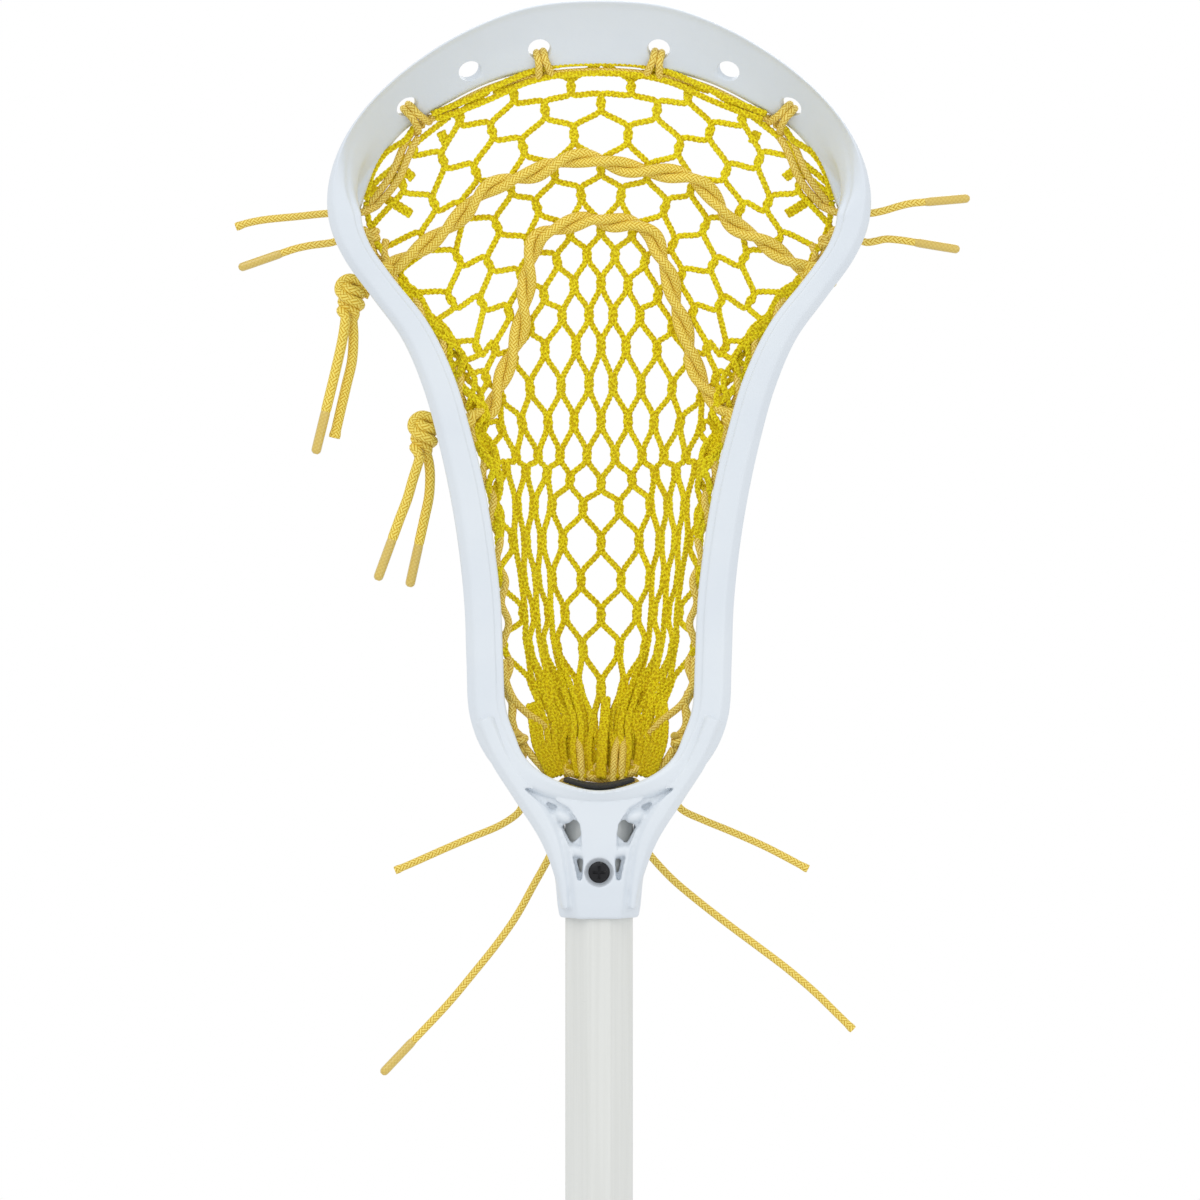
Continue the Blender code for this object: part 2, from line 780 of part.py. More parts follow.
def scoop_position(distance):
    """Where along the hoop the outer edge is this far round from the crown."""
    step = 0.01
    travelled, at = 0.0, 0.0
    last = hoop_at(0.0)
    while travelled < distance:
        at += step
        found = hoop_at(at)
        travelled += math.hypot(found.half - last.half, found.height - last.height)
        last = found
    return at


def mirrored(point, side):
    """A point of the right half, or its mirror image."""
    return Vector((side * point.x, point.y, point.z))


class HoleFrame(NamedTuple):
    """A scoop hole of the right half: its centre and the directions round it."""

    centre: Vector
    across: Vector
    along: Vector
    normal: Vector
    to_edge: float


def scoop_hole(distance):
    """The hole through the scoop's band this far along the rim from the crown."""
    at = scoop_position(distance)
    station = hoop_at(at)
    depth = scoop_face(station, SCOOP_HOLE_SHARE) + BAND_THICKNESS / 2
    centre = rim_point(at, SCOOP_HOLE_SHARE * station.width, depth)
    inner = rim_point(at, station.width, scoop_face(station, 1.0))
    outer = rim_point(at, 0.0, scoop_face(station, 0.0))
    across = (inner - outer).normalized()
    along = (rim_point(at + 0.05, 0.0, 0.0) - rim_point(at - 0.05, 0.0, 0.0)).normalized()
    to_edge = (1.0 - SCOOP_HOLE_SHARE) * (inner - outer).length
    return HoleFrame(centre, across, along, across.cross(along).normalized(), to_edge)


def lace_hole_depth(station):
    """Depth of the lace holes, in the middle of the back rail."""
    return station.back - BACK_RAIL_THICKNESS / 2


def shooter_hole_depth(station):
    """Depth of a shooting string's hole, level with the string where it lies on the net."""
    return station.back - LACE_INSET - shooter_standoff()


def shooter_standoff():
    """How far a shooting string's centre lies in front of the net's middle surface."""
    return NET_STRAND / 2 + PAIR_CLEARANCE + PAIR_DIAMETER / 2


def side_hole(height, inward, depth_of=lace_hole_depth):
    """A point this far in on the axis of a hole through the back rail, and its outward axis."""
    at = rail_position(height)
    out_half, out_height = outward_at(at)
    point = rim_point(at, inward, depth_of(hoop_at(at)))
    return point, Vector((out_half, 0.0, out_height))


def back_rail_face(height):
    """How far in from the outer edge the back rail's inner face is, at a hole's height."""
    return hoop_at(rail_position(height)).width - BACK_RAIL_INSET


def cut_scoop_holes(head):
    """Round holes through the scoop's band, three on each side."""
    for k, distance in enumerate(SCOOP_HOLES):
        hole = scoop_hole(distance)
        for side in (-1, 1):
            cutter = cylinder(
                f"scoop_hole_{k}_{SIDE_NAMES[side]}",
                SCOOP_HOLE_DIAMETER,
                4 * BAND_THICKNESS,
                mirrored(hole.centre, side),
                mirrored(hole.normal, side),
                16,
            )
            boolean(head, cutter)


def cut_string_holes(head):
    """Holes through the back rails for the laces and the shooting strings."""
    lace_bore = LACE_DIAMETER + 2 * LACE_HOLE_CLEARANCE
    pair_bore = PAIR_DIAMETER + 2 * LACE_CLEARANCE
    laces = (TOP_LACE_EXIT, SIDE_LACE_EXIT, *STRING_HOLES)
    drilled = [(height, lace_bore, lace_hole_depth) for height in laces]
    shooters = (UPPER_SHOOTER_EXIT, LOWER_SHOOTER_EXIT)
    drilled += [(height, pair_bore, shooter_hole_depth) for height in shooters]
    for k, (height, bore, depth_of) in enumerate(drilled):
        face = back_rail_face(height)
        centre, axis = side_hole(height, face / 2, depth_of)
        for side in (-1, 1):
            cutter = cylinder(
                f"string_hole_{k}_{SIDE_NAMES[side]}",
                bore,
                face + 6 * CUT_OVERRUN,
                mirrored(centre, side),
                mirrored(axis, side),
                12,
            )
            boolean(head, cutter)


def cut_windows(head):
    """Long rounded windows through the web between the two rails."""
    for k, (height, length) in enumerate(zip(WINDOW_HEIGHTS, WINDOW_LENGTHS)):
        at = rail_position(height)
        station = hoop_at(at)
        out_half, out_height = outward_at(at)
        middle = (
            station.front
            + FRONT_RAIL_THICKNESS
            + station.back
            - BACK_RAIL_THICKNESS
        ) / 2
        for side in (-1, 1):
            shape = bmesh.new()
            bmesh.ops.create_cube(shape, size=1.0)
            bmesh.ops.scale(shape, verts=shape.verts, vec=(WINDOW_CUT, WINDOW_DEPTH, length))
            ends = [
                e for e in shape.edges if abs(e.verts[0].co.x - e.verts[1].co.x) > WINDOW_CUT / 2
            ]
            bmesh.ops.bevel(
                shape,
                geom=ends,
                offset=WINDOW_ROUNDING,
                segments=2,
                profile=0.5,
                affect="EDGES",
            )
            turn = Matrix.Rotation(-side * math.atan2(out_height, out_half), 4, "Y")
            centre = mirrored(rim_point(at, WEB_THICKNESS / 2, middle), side)
            bmesh.ops.transform(shape, verts=shape.verts, matrix=Matrix.Translation(centre) @ turn)
            name = f"window_{k}_{SIDE_NAMES[side]}"
            boolean(head, mesh_object(name, shape, None, CUTTERS))


def cut_throat(head):
    """The socket's bore, the screw's recess and hole, and the openings beside the tongue."""
    bore = octagonal_bar(
        "socket_bore",
        SHAFT_WIDTH + 2 * FIT_GAP,
        flat_growing_by(FIT_GAP),
        COLLAR_Z - CUT_OVERRUN,
        COLLAR_Z + SOCKET_DEPTH + FIT_GAP,
    )
    boolean(head, bore)
    screw_z = COLLAR_Z + SCREW_HEIGHT
    front = -THROAT_DEPTH / 2
    recess_depth = SCREW_HEAD_THICKNESS + FIT_GAP
    recess = cylinder(
        "screw_recess",
        SCREW_HEAD_DIAMETER + 2 * SCREW_RECESS_MARGIN,
        2 * recess_depth,
        (0.0, front, screw_z),
        (0.0, 1.0, 0.0),
        24,
    )
    boolean(head, recess)
    hole = cylinder(
        "screw_hole",
        SCREW_SHANK_DIAMETER + 2 * FIT_GAP,
        2 * (THROAT_WALL + FIT_GAP + CUT_OVERRUN),
        (0.0, front, screw_z),
        (0.0, 1.0, 0.0),
        12,
    )
    boolean(head, hole)
    for k, outline in enumerate(THROAT_WINDOWS):
        for side in (-1, 1):
            name = f"throat_window_{k}_{SIDE_NAMES[side]}"
            points = [(side * x, z) for x, z in outline]
            boolean(head, outline_cutter(name, points, -THROAT_DEPTH, THROAT_DEPTH))


def make_head():
    """The moulded head: hoop, throat walls and socket in one piece."""
    head = make_hoop()
    boolean(head, make_throat_walls(), "UNION")
    boolean(head, make_socket_block(), "UNION")
    cut_throat(head)
    cut_scoop_holes(head)
    cut_string_holes(head)
    cut_windows(head)
    return head


def make_shaft():
    """The tube, open at both ends, with the screw's hole in its front wall."""
    shaft = octagonal_bar(
        "shaft", SHAFT_WIDTH, SHAFT_FLAT, SHAFT_FOOT, SHAFT_FOOT + SHAFT_LENGTH, ALLOY_WHITE, PARTS
    )
    bore = octagonal_bar(
        "shaft_bore",
        SHAFT_WIDTH - 2 * SHAFT_WALL,
        flat_growing_by(-SHAFT_WALL),
        SHAFT_FOOT - CUT_OVERRUN,
        SHAFT_FOOT + SHAFT_LENGTH + CUT_OVERRUN,
    )
    boolean(shaft, bore)
    hole = cylinder(
        "shaft_screw_hole",
        SCREW_SHANK_DIAMETER + 2 * FIT_GAP,
        SHAFT_WIDTH / 2,
        (0.0, -SHAFT_WIDTH / 2, COLLAR_Z + SCREW_HEIGHT),
        (0.0, 1.0, 0.0),
        12,
    )
    boolean(shaft, hole)
    return shaft


def make_end_cap():
    """The rubber cup on the butt."""
    width = SHAFT_WIDTH + 2 * (FIT_GAP + CAP_WALL)
    made = octagonal_bar(
        "end_cap", width, flat_growing_by(FIT_GAP + CAP_WALL), 0.0, CAP_LENGTH, CAP_RUBBER, PARTS
    )
    rounding = made.modifiers.new("rounding", "BEVEL")
    rounding.width = CAP_ROUNDING
    rounding.segments = 2
    rounding.limit_method = "ANGLE"
    rounding.angle_limit = math.radians(60)
    inside = octagonal_bar(
        "cap_bore",
        SHAFT_WIDTH + 2 * FIT_GAP,
        flat_growing_by(FIT_GAP),
        CAP_FLOOR,
        CAP_LENGTH + CUT_OVERRUN,
    )
    boolean(made, inside)
    return made


def make_screw():
    """The pan-head screw through the socket's front wall and the shaft's."""
    seat = -THROAT_DEPTH / 2 + SCREW_HEAD_THICKNESS
    head_half = SCREW_HEAD_DIAMETER / 2
    shank_half = SCREW_SHANK_DIAMETER / 2
    profile = (
        (0.0, 0.0),
        (0.62 * head_half, 0.0),
        (0.92 * head_half, 0.30 * SCREW_HEAD_THICKNESS),
        (head_half, 0.62 * SCREW_HEAD_THICKNESS),
        (head_half, SCREW_HEAD_THICKNESS),
        (shank_half, SCREW_HEAD_THICKNESS),
        (shank_half, SCREW_HEAD_THICKNESS + SCREW_SHANK_LENGTH - shank_half),
        (0.0, SCREW_HEAD_THICKNESS + SCREW_SHANK_LENGTH),
    )
    data = bpy.data.meshes.new("head_screw")
    points = [(radius, 0.0, -depth) for radius, depth in profile]
    data.from_pydata(points, [(i, i + 1) for i in range(len(points) - 1)], [])
    made = new_object("head_screw", data, SCREW_STEEL)
    turned = made.modifiers.new("turned", "SCREW")
    turned.steps = 16
    turned.render_steps = 16
    turned.use_merge_vertices = True
    turned.merge_threshold = MERGE_DISTANCE
    made.rotation_euler = (math.radians(90), 0.0, 0.0)
    made.location = (0.0, seat - SCREW_HEAD_THICKNESS, COLLAR_Z + SCREW_HEIGHT)
    for k, turn in enumerate((0, 90)):
        shape = bmesh.new()
        bmesh.ops.create_cube(shape, size=1.0)
        size = (SCREW_CROSS_LENGTH, 2 * SCREW_CROSS_DEPTH, SCREW_CROSS_WIDTH)
        bmesh.ops.scale(shape, verts=shape.verts, vec=size)
        about = Matrix.Rotation(math.radians(turn), 4, "Y")
        place = Matrix.Translation((0.0, -THROAT_DEPTH / 2, COLLAR_Z + SCREW_HEIGHT))
        bmesh.ops.transform(shape, verts=shape.verts, matrix=place @ about)
        boolean(made, mesh_object(f"screw_cross_{k}", shape, None, CUTTERS))
    return made


def make_pad():
    """The foam strip glued in the bottom of the hoop."""
    rings = []
    for k in range(PAD_SECTIONS + 1):
        half = PAD_HALF_WIDTH * (2 * k / PAD_SECTIONS - 1)
        at = falling(
            lambda place: rim_point(place, hoop_at(place).width + FIT_GAP, 0.0).x,
            abs(half),
            FOOT_START,
        )
        width = hoop_at(at).width
        low = rim_point(at, width + FIT_GAP, 0.0)
        high = rim_point(at, width + FIT_GAP + PAD_THICKNESS, 0.0)
        side = -1 if half < 0 else 1
        rings.append(
            [
                (side * low.x, -PAD_DEPTH / 2, low.z),
                (side * low.x, PAD_DEPTH / 2, low.z),
                (side * high.x, PAD_DEPTH / 2, high.z),
                (side * high.x, -PAD_DEPTH / 2, high.z),
            ]
        )
    shape, loops = loft(rings)
    cap(shape, loops)
    return mesh_object("ball_stop_pad", shape, FOAM_BLACK)


def lace_line(position, clear):
    """A point this far in from the hoop's inner edge, near its back, where the laces run."""
    station = hoop_at(position)
    share = min(max(station.rail, 0.0), 1.0)
    inward = station.width - share * BACK_RAIL_INSET + clear
    depth = station.back - (1.0 - share) * BAND_THICKNESS / 2 - share * LACE_INSET
    return rim_point(position, inward, depth)


def falling(measure, value, low=0.0, high=HOOP_END):
    """The position between low and high where a measure that falls along the hoop has a value."""
    for _ in range(SEARCH_STEPS):
        middle = (low + high) / 2
        if measure(middle) > value:
            low = middle
        else:
            high = middle
    return low


def seam(height, clear):
    """Where a line this far in from the hoop's inner edge passes a height above the collar."""
    at = falling(lambda place: lace_line(place, clear).z - COLLAR_Z, height)
    return lace_line(at, clear)


def pocket_depth(half, height):
    """Depth of the net's middle surface at a place in the hoop."""
    edge = seam(height, NET_SEAT)
    share = min(abs(half) / max(edge.x, abs(half), 0.001), 1.0)
    sag = POCKET_SAG * between(SAG_GUIDES, height)
    return edge.y + sag * (1.0 - share * share)


def in_front_of_pocket(half, height, standoff):
    """A point this far out from the ball side of the net, square to it."""
    step = 0.001
    slope_across = pocket_depth(half + step, height) - pocket_depth(half - step, height)
    slope_up = pocket_depth(half, height + step) - pocket_depth(half, height - step)
    square = Vector((slope_across, -2 * step, slope_up)).normalized()
    return Vector((half, pocket_depth(half, height), COLLAR_Z + height)) + standoff * square


def end_row_point(across, reach, low, high):
    """A point of the net's first or last row, hung along the scoop or the ball stop."""
    half = reach * abs(across)
    sign = 1.0 if high < HOOP_END else -1.0
    at = falling(lambda place: -sign * lace_line(place, NET_SEAT).x, -sign * half, low, high)
    point = lace_line(at, NET_SEAT)
    return Vector((math.copysign(half, across), point.y, point.z))


def net_point(row, across, drop):
    """A point of the net: row counted from the top, across from -1 to 1, drop along the bar."""
    if row == 0:
        return end_row_point(across, NET_TOP_REACH, 0.0, SCOOP_END)
    if row == NET_ROWS - 1:
        return end_row_point(across, NET_FOOT_REACH, FOOT_START, HOOP_END)
    guide = NetRow(*spline(NET_GUIDES, row / (NET_ROWS - 1) * (len(NET_GUIDES) - 1)))
    height = guide.height - guide.fall * across * across - drop
    share = guide.spread * across + (1.0 - guide.spread) * across**3
    half = share * seam(height, NET_SEAT).x
    return Vector((half, pocket_depth(half, height), COLLAR_Z + height))


def make_net():
    """The mesh pocket: bars in staggered rows, joined by slanting strands."""
    shape = bmesh.new()
    pitch = (NET_GUIDES[0].height - NET_GUIDES[-1].height) / (NET_ROWS - 1)
    reach = 0.5 * NET_BAR_SHARE * pitch
    rows = []
    for row in range(NET_ROWS):
        bars = NET_COLUMNS - row % 2
        ends = []
        for k in range(bars):
            across = (2 * k - bars + 1) / (NET_COLUMNS - 1)
            top = shape.verts.new(net_point(row, across, -reach))
            foot = shape.verts.new(net_point(row, across, reach))
            ends.append((top, foot))
        rows.append(ends)
    for row in range(1, NET_ROWS - 1):
        above, here, below = rows[row - 1], rows[row], rows[row + 1]
        for k, (left, right) in enumerate(zip(here, here[1:])):
            over = above[k + row % 2][1]
            under = below[k + row % 2][0]
            shape.faces.new((over, right[0], right[1], under, left[1], left[0]))
    bmesh.ops.delete(shape, geom=[v for v in shape.verts if not v.link_faces], context="VERTS")
    made = mesh_object("mesh_pocket", shape, MESH_YELLOW)
    strands = made.modifiers.new("strands", "WIREFRAME")
    strands.thickness = NET_STRAND
    strands.use_even_offset = False
    strands.use_boundary = True
    strands.use_replace = True
    return made


def even_points(route, spacing):
    """Points along a smooth curve through a route, this far apart or a little less."""
    steps = 12 * (len(route) - 1)
    fine = [Vector(spline([tuple(p) for p in route], k / 12)) for k in range(steps + 1)]
    travelled = [0.0]
    for before, after in zip(fine, fine[1:]):
        travelled.append(travelled[-1] + (after - before).length)
    count = max(math.ceil(travelled[-1] / spacing), 2)
    points = [fine[0]]
    k = 0
    for step in range(1, count):
        target = travelled[-1] * step / count
        while travelled[k + 1] < target:
            k += 1
        share = (target - travelled[k]) / (travelled[k + 1] - travelled[k])
        points.append(fine[k].lerp(fine[k + 1], share))
    return [*points, fine[-1]]


def cord(name, points, diameter, material):
    """A round cord through these points, its ends closed flat."""
    data = bpy.data.curves.new(name, "CURVE")
    data.dimensions = "3D"
    data.bevel_depth = diameter / 2
    data.bevel_resolution = 2
    data.use_fill_caps = True
    line = data.splines.new("POLY")
    line.points.add(len(points) - 1)
    for spot, place in zip(line.points, points):
        spot.co = (*place, 1.0)
    return new_object(name, data, material)


def both_sides(right):
    """A route from the left end to the right, from its right half, which starts in the middle."""
    return [mirrored(point, -1) for point in reversed(right[1:])] + list(right)


def out_through(exit_height):
    """The lace's last points, from the back rail's inner face out through a hole."""
    face = back_rail_face(exit_height)
    inwards = (face + LACE_SEAT, face - LACE_SEAT, HELD_END_INSET)
    return [side_hole(exit_height, inward)[0] for inward in inwards]


def lace_loop(distance):
    """The lace's turn round the bar between a scoop hole and the band's inner edge."""
    hole = scoop_hole(distance)
    near, far = SCOOP_HOLE_DIAMETER / 2, hole.to_edge
    half = BAND_THICKNESS / 2
    corner = LOOP_CORNER_SHARE * LACE_SEAT
    turn = (
        (far + LACE_SEAT, 0.0),
        (far + corner, half + corner),
        ((near + far) / 2, half + LACE_SEAT),
        (near - corner, half + corner),
        (near - LACE_SEAT, 0.0),
        (near - corner, -half - corner),
        ((near + far) / 2, -half - LACE_SEAT),
        (far + corner, -half - corner),
        (far + LACE_SEAT, 0.0),
    )
    points = []
    for k, (across, out) in enumerate(turn):
        along = LOOP_HALF_WIDTH * (2 * k / (len(turn) - 1) - 1)
        points.append(hole.centre + across * hole.across + out * hole.normal + along * hole.along)
    return points


def make_top_string():
    """The lace that hangs the net's first row under the scoop, looped through four of its holes."""
    pitch = ROUTE_SPACING * LACE_DIAMETER
    route = []
    travelled = 0.0
    for distance in LACED_SCOOP_HOLES:
        start = distance - 2 * LOOP_HALF_WIDTH
        count = math.ceil((start - travelled) / pitch)
        for k in range(count):
            at = travelled + (start - travelled) * k / count
            route.append(lace_line(scoop_position(at), LACE_SEAT))
        route += lace_loop(distance)
        travelled = distance + 2 * LOOP_HALF_WIDTH
    low = scoop_position(travelled)
    high = rail_position(TOP_LACE_EXIT) - TOP_LACE_MARGIN
    for k in range(TOP_LACE_POINTS + 1):
        route.append(lace_line(low + (high - low) * k / TOP_LACE_POINTS, LACE_SEAT))
    route += out_through(TOP_LACE_EXIT)
    return cord("top_string", both_sides(route), LACE_DIAMETER, LACE_YELLOW)


def over_the_back(position, step):
    """Four points that take a lace over the hoop's back edge, moving this far along it each."""
    ways = (
        (LACE_SEAT, 0.0),
        (0.75 * LACE_SEAT, LACE_INSET + 0.75 * LACE_SEAT),
        (-0.6 * LACE_SEAT, LACE_INSET + LACE_SEAT),
        (-2.0 * LACE_SEAT, LACE_INSET + LACE_SEAT),
    )
    points = []
    for k, (clear, behind) in enumerate(ways):
        point = lace_line(position + k * step, clear)
        points.append(point + Vector((0.0, behind, 0.0)))
    return points


def above_collar(point):
    """A point given in half-width, depth and height above the collar, in the stick's frame."""
    half, depth, height = point
    return Vector((half, depth, COLLAR_Z + height))


def make_sidewall_strings():
    """The laces that hold the net's edges along the rails, from an upper hole to the throat."""
    low, high = SIDE_LACE_TOP, SIDE_LACE_TURN
    count = math.ceil((low - high) / (ROUTE_SPACING * LACE_DIAMETER))
    route = list(reversed(out_through(SIDE_LACE_EXIT)))
    for k in range(count + 1):
        route.append(seam(low + (high - low) * k / count, LACE_SEAT))
    turn = falling(lambda place: lace_line(place, LACE_SEAT).z - COLLAR_Z, SIDE_LACE_TURN)
    route += over_the_back(turn + SIDE_TURN_START, SIDE_TURN_STEP)
    route += [above_collar(point) for point in SIDE_LACE_FOOT]
    for side in (-1, 1):
        spacing = HELD_SPACING * LACE_DIAMETER
        points = even_points([mirrored(point, side) for point in route], spacing)
        cord(f"sidewall_string_{SIDE_NAMES[side]}", points, LACE_DIAMETER, LACE_YELLOW)


def make_bottom_string():
    """The lace that gathers the net at the ball stop and hangs out behind the throat."""
    route = [lace_line(HOOP_END - k * BOTTOM_STEP, LACE_SEAT) for k in range(BOTTOM_POINTS)]
    route += over_the_back(HOOP_END - BOTTOM_POINTS * BOTTOM_STEP, BOTTOM_TURN_STEP)
    route += [above_collar(point) for point in BOTTOM_LACE_FOOT]
    points = even_points(both_sides(route), HELD_SPACING * LACE_DIAMETER)
    return cord("bottom_string", points, LACE_DIAMETER, LACE_YELLOW)


def knot_lean(axis):
    """How far a knot leans with the rail, from the outward axis of its hole."""
    return KNOT_LEAN_SHARE * math.atan2(-axis.z, axis.x)


def knot_extent(axis):
    """Half the knot's size along the axis of its hole."""
    turned = math.atan2(-axis.z, axis.x) - knot_lean(axis)
    return math.hypot(KNOT_WIDTH / 2 * math.cos(turned), KNOT_HEIGHT / 2 * math.sin(turned))


def make_shooting_string(name, line, exit_height):
    """A pair of strands laid over the net from rail to rail, with its knot outside the left rail."""
    face = back_rail_face(exit_height)
    ends = []
    for side, outer in ((-1, KNOT_INSET), (1, HELD_END_INSET)):
        inwards = (outer, face / 2, face + 0.4 * PAIR_DIAMETER, face + 1.2 * PAIR_DIAMETER)
        points = [side_hole(exit_height, inward, shooter_hole_depth)[0] for inward in inwards]
        ends.append([mirrored(point, side) for point in points])
    over = [in_front_of_pocket(half, height, shooter_standoff()) for half, height in line]
    route = [*ends[0], *over, *reversed(ends[1])]
    cord(f"shooting_string_{name}", even_points(route, PAIR_DIAMETER), PAIR_DIAMETER, LACE_YELLOW)
    _, axis = side_hole(exit_height, 0.0)
    outward = FIT_GAP + knot_extent(axis) - KNOT_INSET
    centre, _ = side_hole(exit_height, -outward, shooter_hole_depth)
    make_knot(f"{name}_shooter_knot", mirrored(centre, -1), -knot_lean(axis))


def make_knot(name, centre, lean):
    """A knot, a lump a little longer than it is wide, leaning this far about the depth axis."""
    shape = bmesh.new()
    bmesh.ops.create_uvsphere(shape, u_segments=14, v_segments=10, radius=0.5)
    bmesh.ops.scale(shape, verts=shape.verts, vec=(KNOT_WIDTH, KNOT_DEPTH, KNOT_HEIGHT))
    place = Matrix.Translation(centre) @ Matrix.Rotation(lean, 4, "Y")
    bmesh.ops.transform(shape, verts=shape.verts, matrix=place)
    return shade_round(mesh_object(name, shape, LACE_YELLOW))


def make_tail(tail):
    """A free lace end, and the tip on it if it has one."""
    spacing = TAIL_SPACING * tail.diameter
    points = even_points([above_collar(point) for point in tail.route], spacing)
    cord(f"tail_{tail.name}", points, tail.diameter, LACE_YELLOW)
    if tail.tipped:
        along = (points[-1] - points[-2]).normalized()
        start = points[-1] + FIT_GAP * along
        ends = (start, start + TIP_LENGTH * along)
        cord(f"aglet_{tail.name}", ends, TIP_DIAMETER, TIP_PLASTIC)


make_head()
make_shaft()
make_end_cap()
make_screw()
make_pad()
make_net()
make_top_string()
make_sidewall_strings()
make_bottom_string()
make_shooting_string("upper", UPPER_SHOOTER, UPPER_SHOOTER_EXIT)
make_shooting_string("lower", LOWER_SHOOTER, LOWER_SHOOTER_EXIT)
for tail in TAILS:
    make_tail(tail)
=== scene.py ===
"""A women's lacrosse stick: moulded head, knitted pocket, braided laces, shaft and butt cap.

Lengths are in metres. The stick stands upright with its butt at the origin, the ball side of the
head faces -Y, and heights on the head are counted from its collar.
"""

from __future__ import annotations

import logging
import math
from dataclasses import dataclass
from enum import Enum
from typing import Callable, NamedTuple, Sequence

import bmesh
import bpy
from mathutils import Matrix, Vector
from mathutils.bvhtree import BVHTree


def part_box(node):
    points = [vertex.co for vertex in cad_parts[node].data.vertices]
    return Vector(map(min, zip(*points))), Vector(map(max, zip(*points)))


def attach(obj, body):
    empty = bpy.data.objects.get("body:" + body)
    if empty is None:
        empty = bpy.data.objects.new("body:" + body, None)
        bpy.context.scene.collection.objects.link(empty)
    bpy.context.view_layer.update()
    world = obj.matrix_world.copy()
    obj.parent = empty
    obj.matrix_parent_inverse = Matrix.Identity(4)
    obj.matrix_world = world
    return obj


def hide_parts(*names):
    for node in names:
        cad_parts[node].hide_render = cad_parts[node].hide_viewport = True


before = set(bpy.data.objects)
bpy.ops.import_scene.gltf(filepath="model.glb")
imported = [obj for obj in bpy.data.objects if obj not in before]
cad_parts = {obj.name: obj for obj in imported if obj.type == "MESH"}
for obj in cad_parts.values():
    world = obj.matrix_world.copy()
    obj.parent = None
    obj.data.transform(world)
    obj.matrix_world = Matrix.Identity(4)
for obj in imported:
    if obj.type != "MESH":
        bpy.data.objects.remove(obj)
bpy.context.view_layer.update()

LOG = logging.getLogger("lacrosse_stick")
SMOOTH_ANGLE = math.radians(38.0)
MERGE_DISTANCE = 0.000001
MILLIMETRE = 0.001
TURN = 2 * math.pi
FRONT, BACK, UP = Vector((0.0, -1.0, 0.0)), Vector((0.0, 1.0, 0.0)), Vector((0.0, 0.0, 1.0))

# How much each flat of an octagonal bar grows with the bar's width
FLAT_GROWTH = math.tan(math.radians(22.5))

# The camera: its width of view at the head's front plane, its distance from there and its centre
PICTURE_SIZE = 1200
VIEW_WIDTH = 0.3908
VIEW_DISTANCE = 1.15
FRONT_PLANE = -0.012
VIEW_CENTRE = (0.0003, 0.8845)
SENSOR_WIDTH = 36.0

# Heights that the frame gives
SHAFT_LOW, SHAFT_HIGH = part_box("shaft")
COLLAR_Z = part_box("head_frame")[0].z
SCREW_LOW, SCREW_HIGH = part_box("head_screw")
CAP_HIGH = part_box("end_cap")[1]

# Cord sizes
LACE_DIAMETER = 0.0025
SHOOTER_DIAMETER = 0.0034
TIP_LENGTH = 0.0150


class Body(Enum):
    """The two bodies of the stick."""

    STICK = "stick"
    CAP = "butt_cap"


class Slot(Enum):
    """The record's material slots."""

    NYLON = "moulded_nylon"
    ALLOY = "painted_alloy"
    RUBBER = "cap_rubber"
    FOAM = "pad_foam"
    STEEL = "screw_steel"
    MESH = "mesh_cord"
    LACE = "lace_cord"
    TIP = "lace_tip"


class Signal:
    """A value inside a material. Arithmetic on it adds Math nodes."""

    def __init__(self, graph: "Graph", socket: bpy.types.NodeSocket) -> None:
        """Wrap a socket.

        Args:
            graph: The material that the socket belongs to.
            socket: The output socket.
        """
        self.graph = graph
        self.socket = socket

    def math(self, operation: str, *others: "Signal | float", flipped: bool = False) -> "Signal":
        """Add a Math node.

        Args:
            operation: The Math node's operation.
            others: The further operands.
            flipped: Whether this value comes second.

        Returns:
            The node's result.
        """
        operands = [self, *others]
        if flipped:
            operands.reverse()
        inputs = dict(enumerate(operands))
        return self.graph.node("ShaderNodeMath", {"operation": operation}, inputs)

    def __add__(self, other: "Signal | float") -> "Signal":
        """The sum."""
        return self.math("ADD", other)

    __radd__ = __add__

    def __sub__(self, other: "Signal | float") -> "Signal":
        """The difference."""
        return self.math("SUBTRACT", other)

    def __rsub__(self, other: "Signal | float") -> "Signal":
        """The difference, with this value taken away."""
        return self.math("SUBTRACT", other, flipped=True)

    def __mul__(self, other: "Signal | float") -> "Signal":
        """The product."""
        return self.math("MULTIPLY", other)

    __rmul__ = __mul__

    def sine(self) -> "Signal":
        """The sine."""
        return self.math("SINE")

    def size(self) -> "Signal":
        """The absolute value."""
        return self.math("ABSOLUTE")

    def at_least(self, other: "Signal | float") -> "Signal":
        """The higher of two values."""
        return self.math("MAXIMUM", other)

    def over(self, other: "Signal | float") -> "Signal":
        """One where this value is over the other, and nought elsewhere."""
        return self.math("GREATER_THAN", other)

    def beside(self, output: str) -> "Signal":
        """Another output of this signal's node."""
        return Signal(self.graph, self.socket.node.outputs[output])

    def eased(self, low: float, high: float) -> "Signal":
        """Ease from nought at low to one at high.

        Args:
            low: The value that becomes nought.
            high: The value that becomes one.

        Returns:
            The eased value.
        """
        inputs = {"Value": self, "From Min": low, "From Max": high}
        settings = {"interpolation_type": "SMOOTHSTEP"}
        return self.graph.node("ShaderNodeMapRange", settings, inputs, "Result")


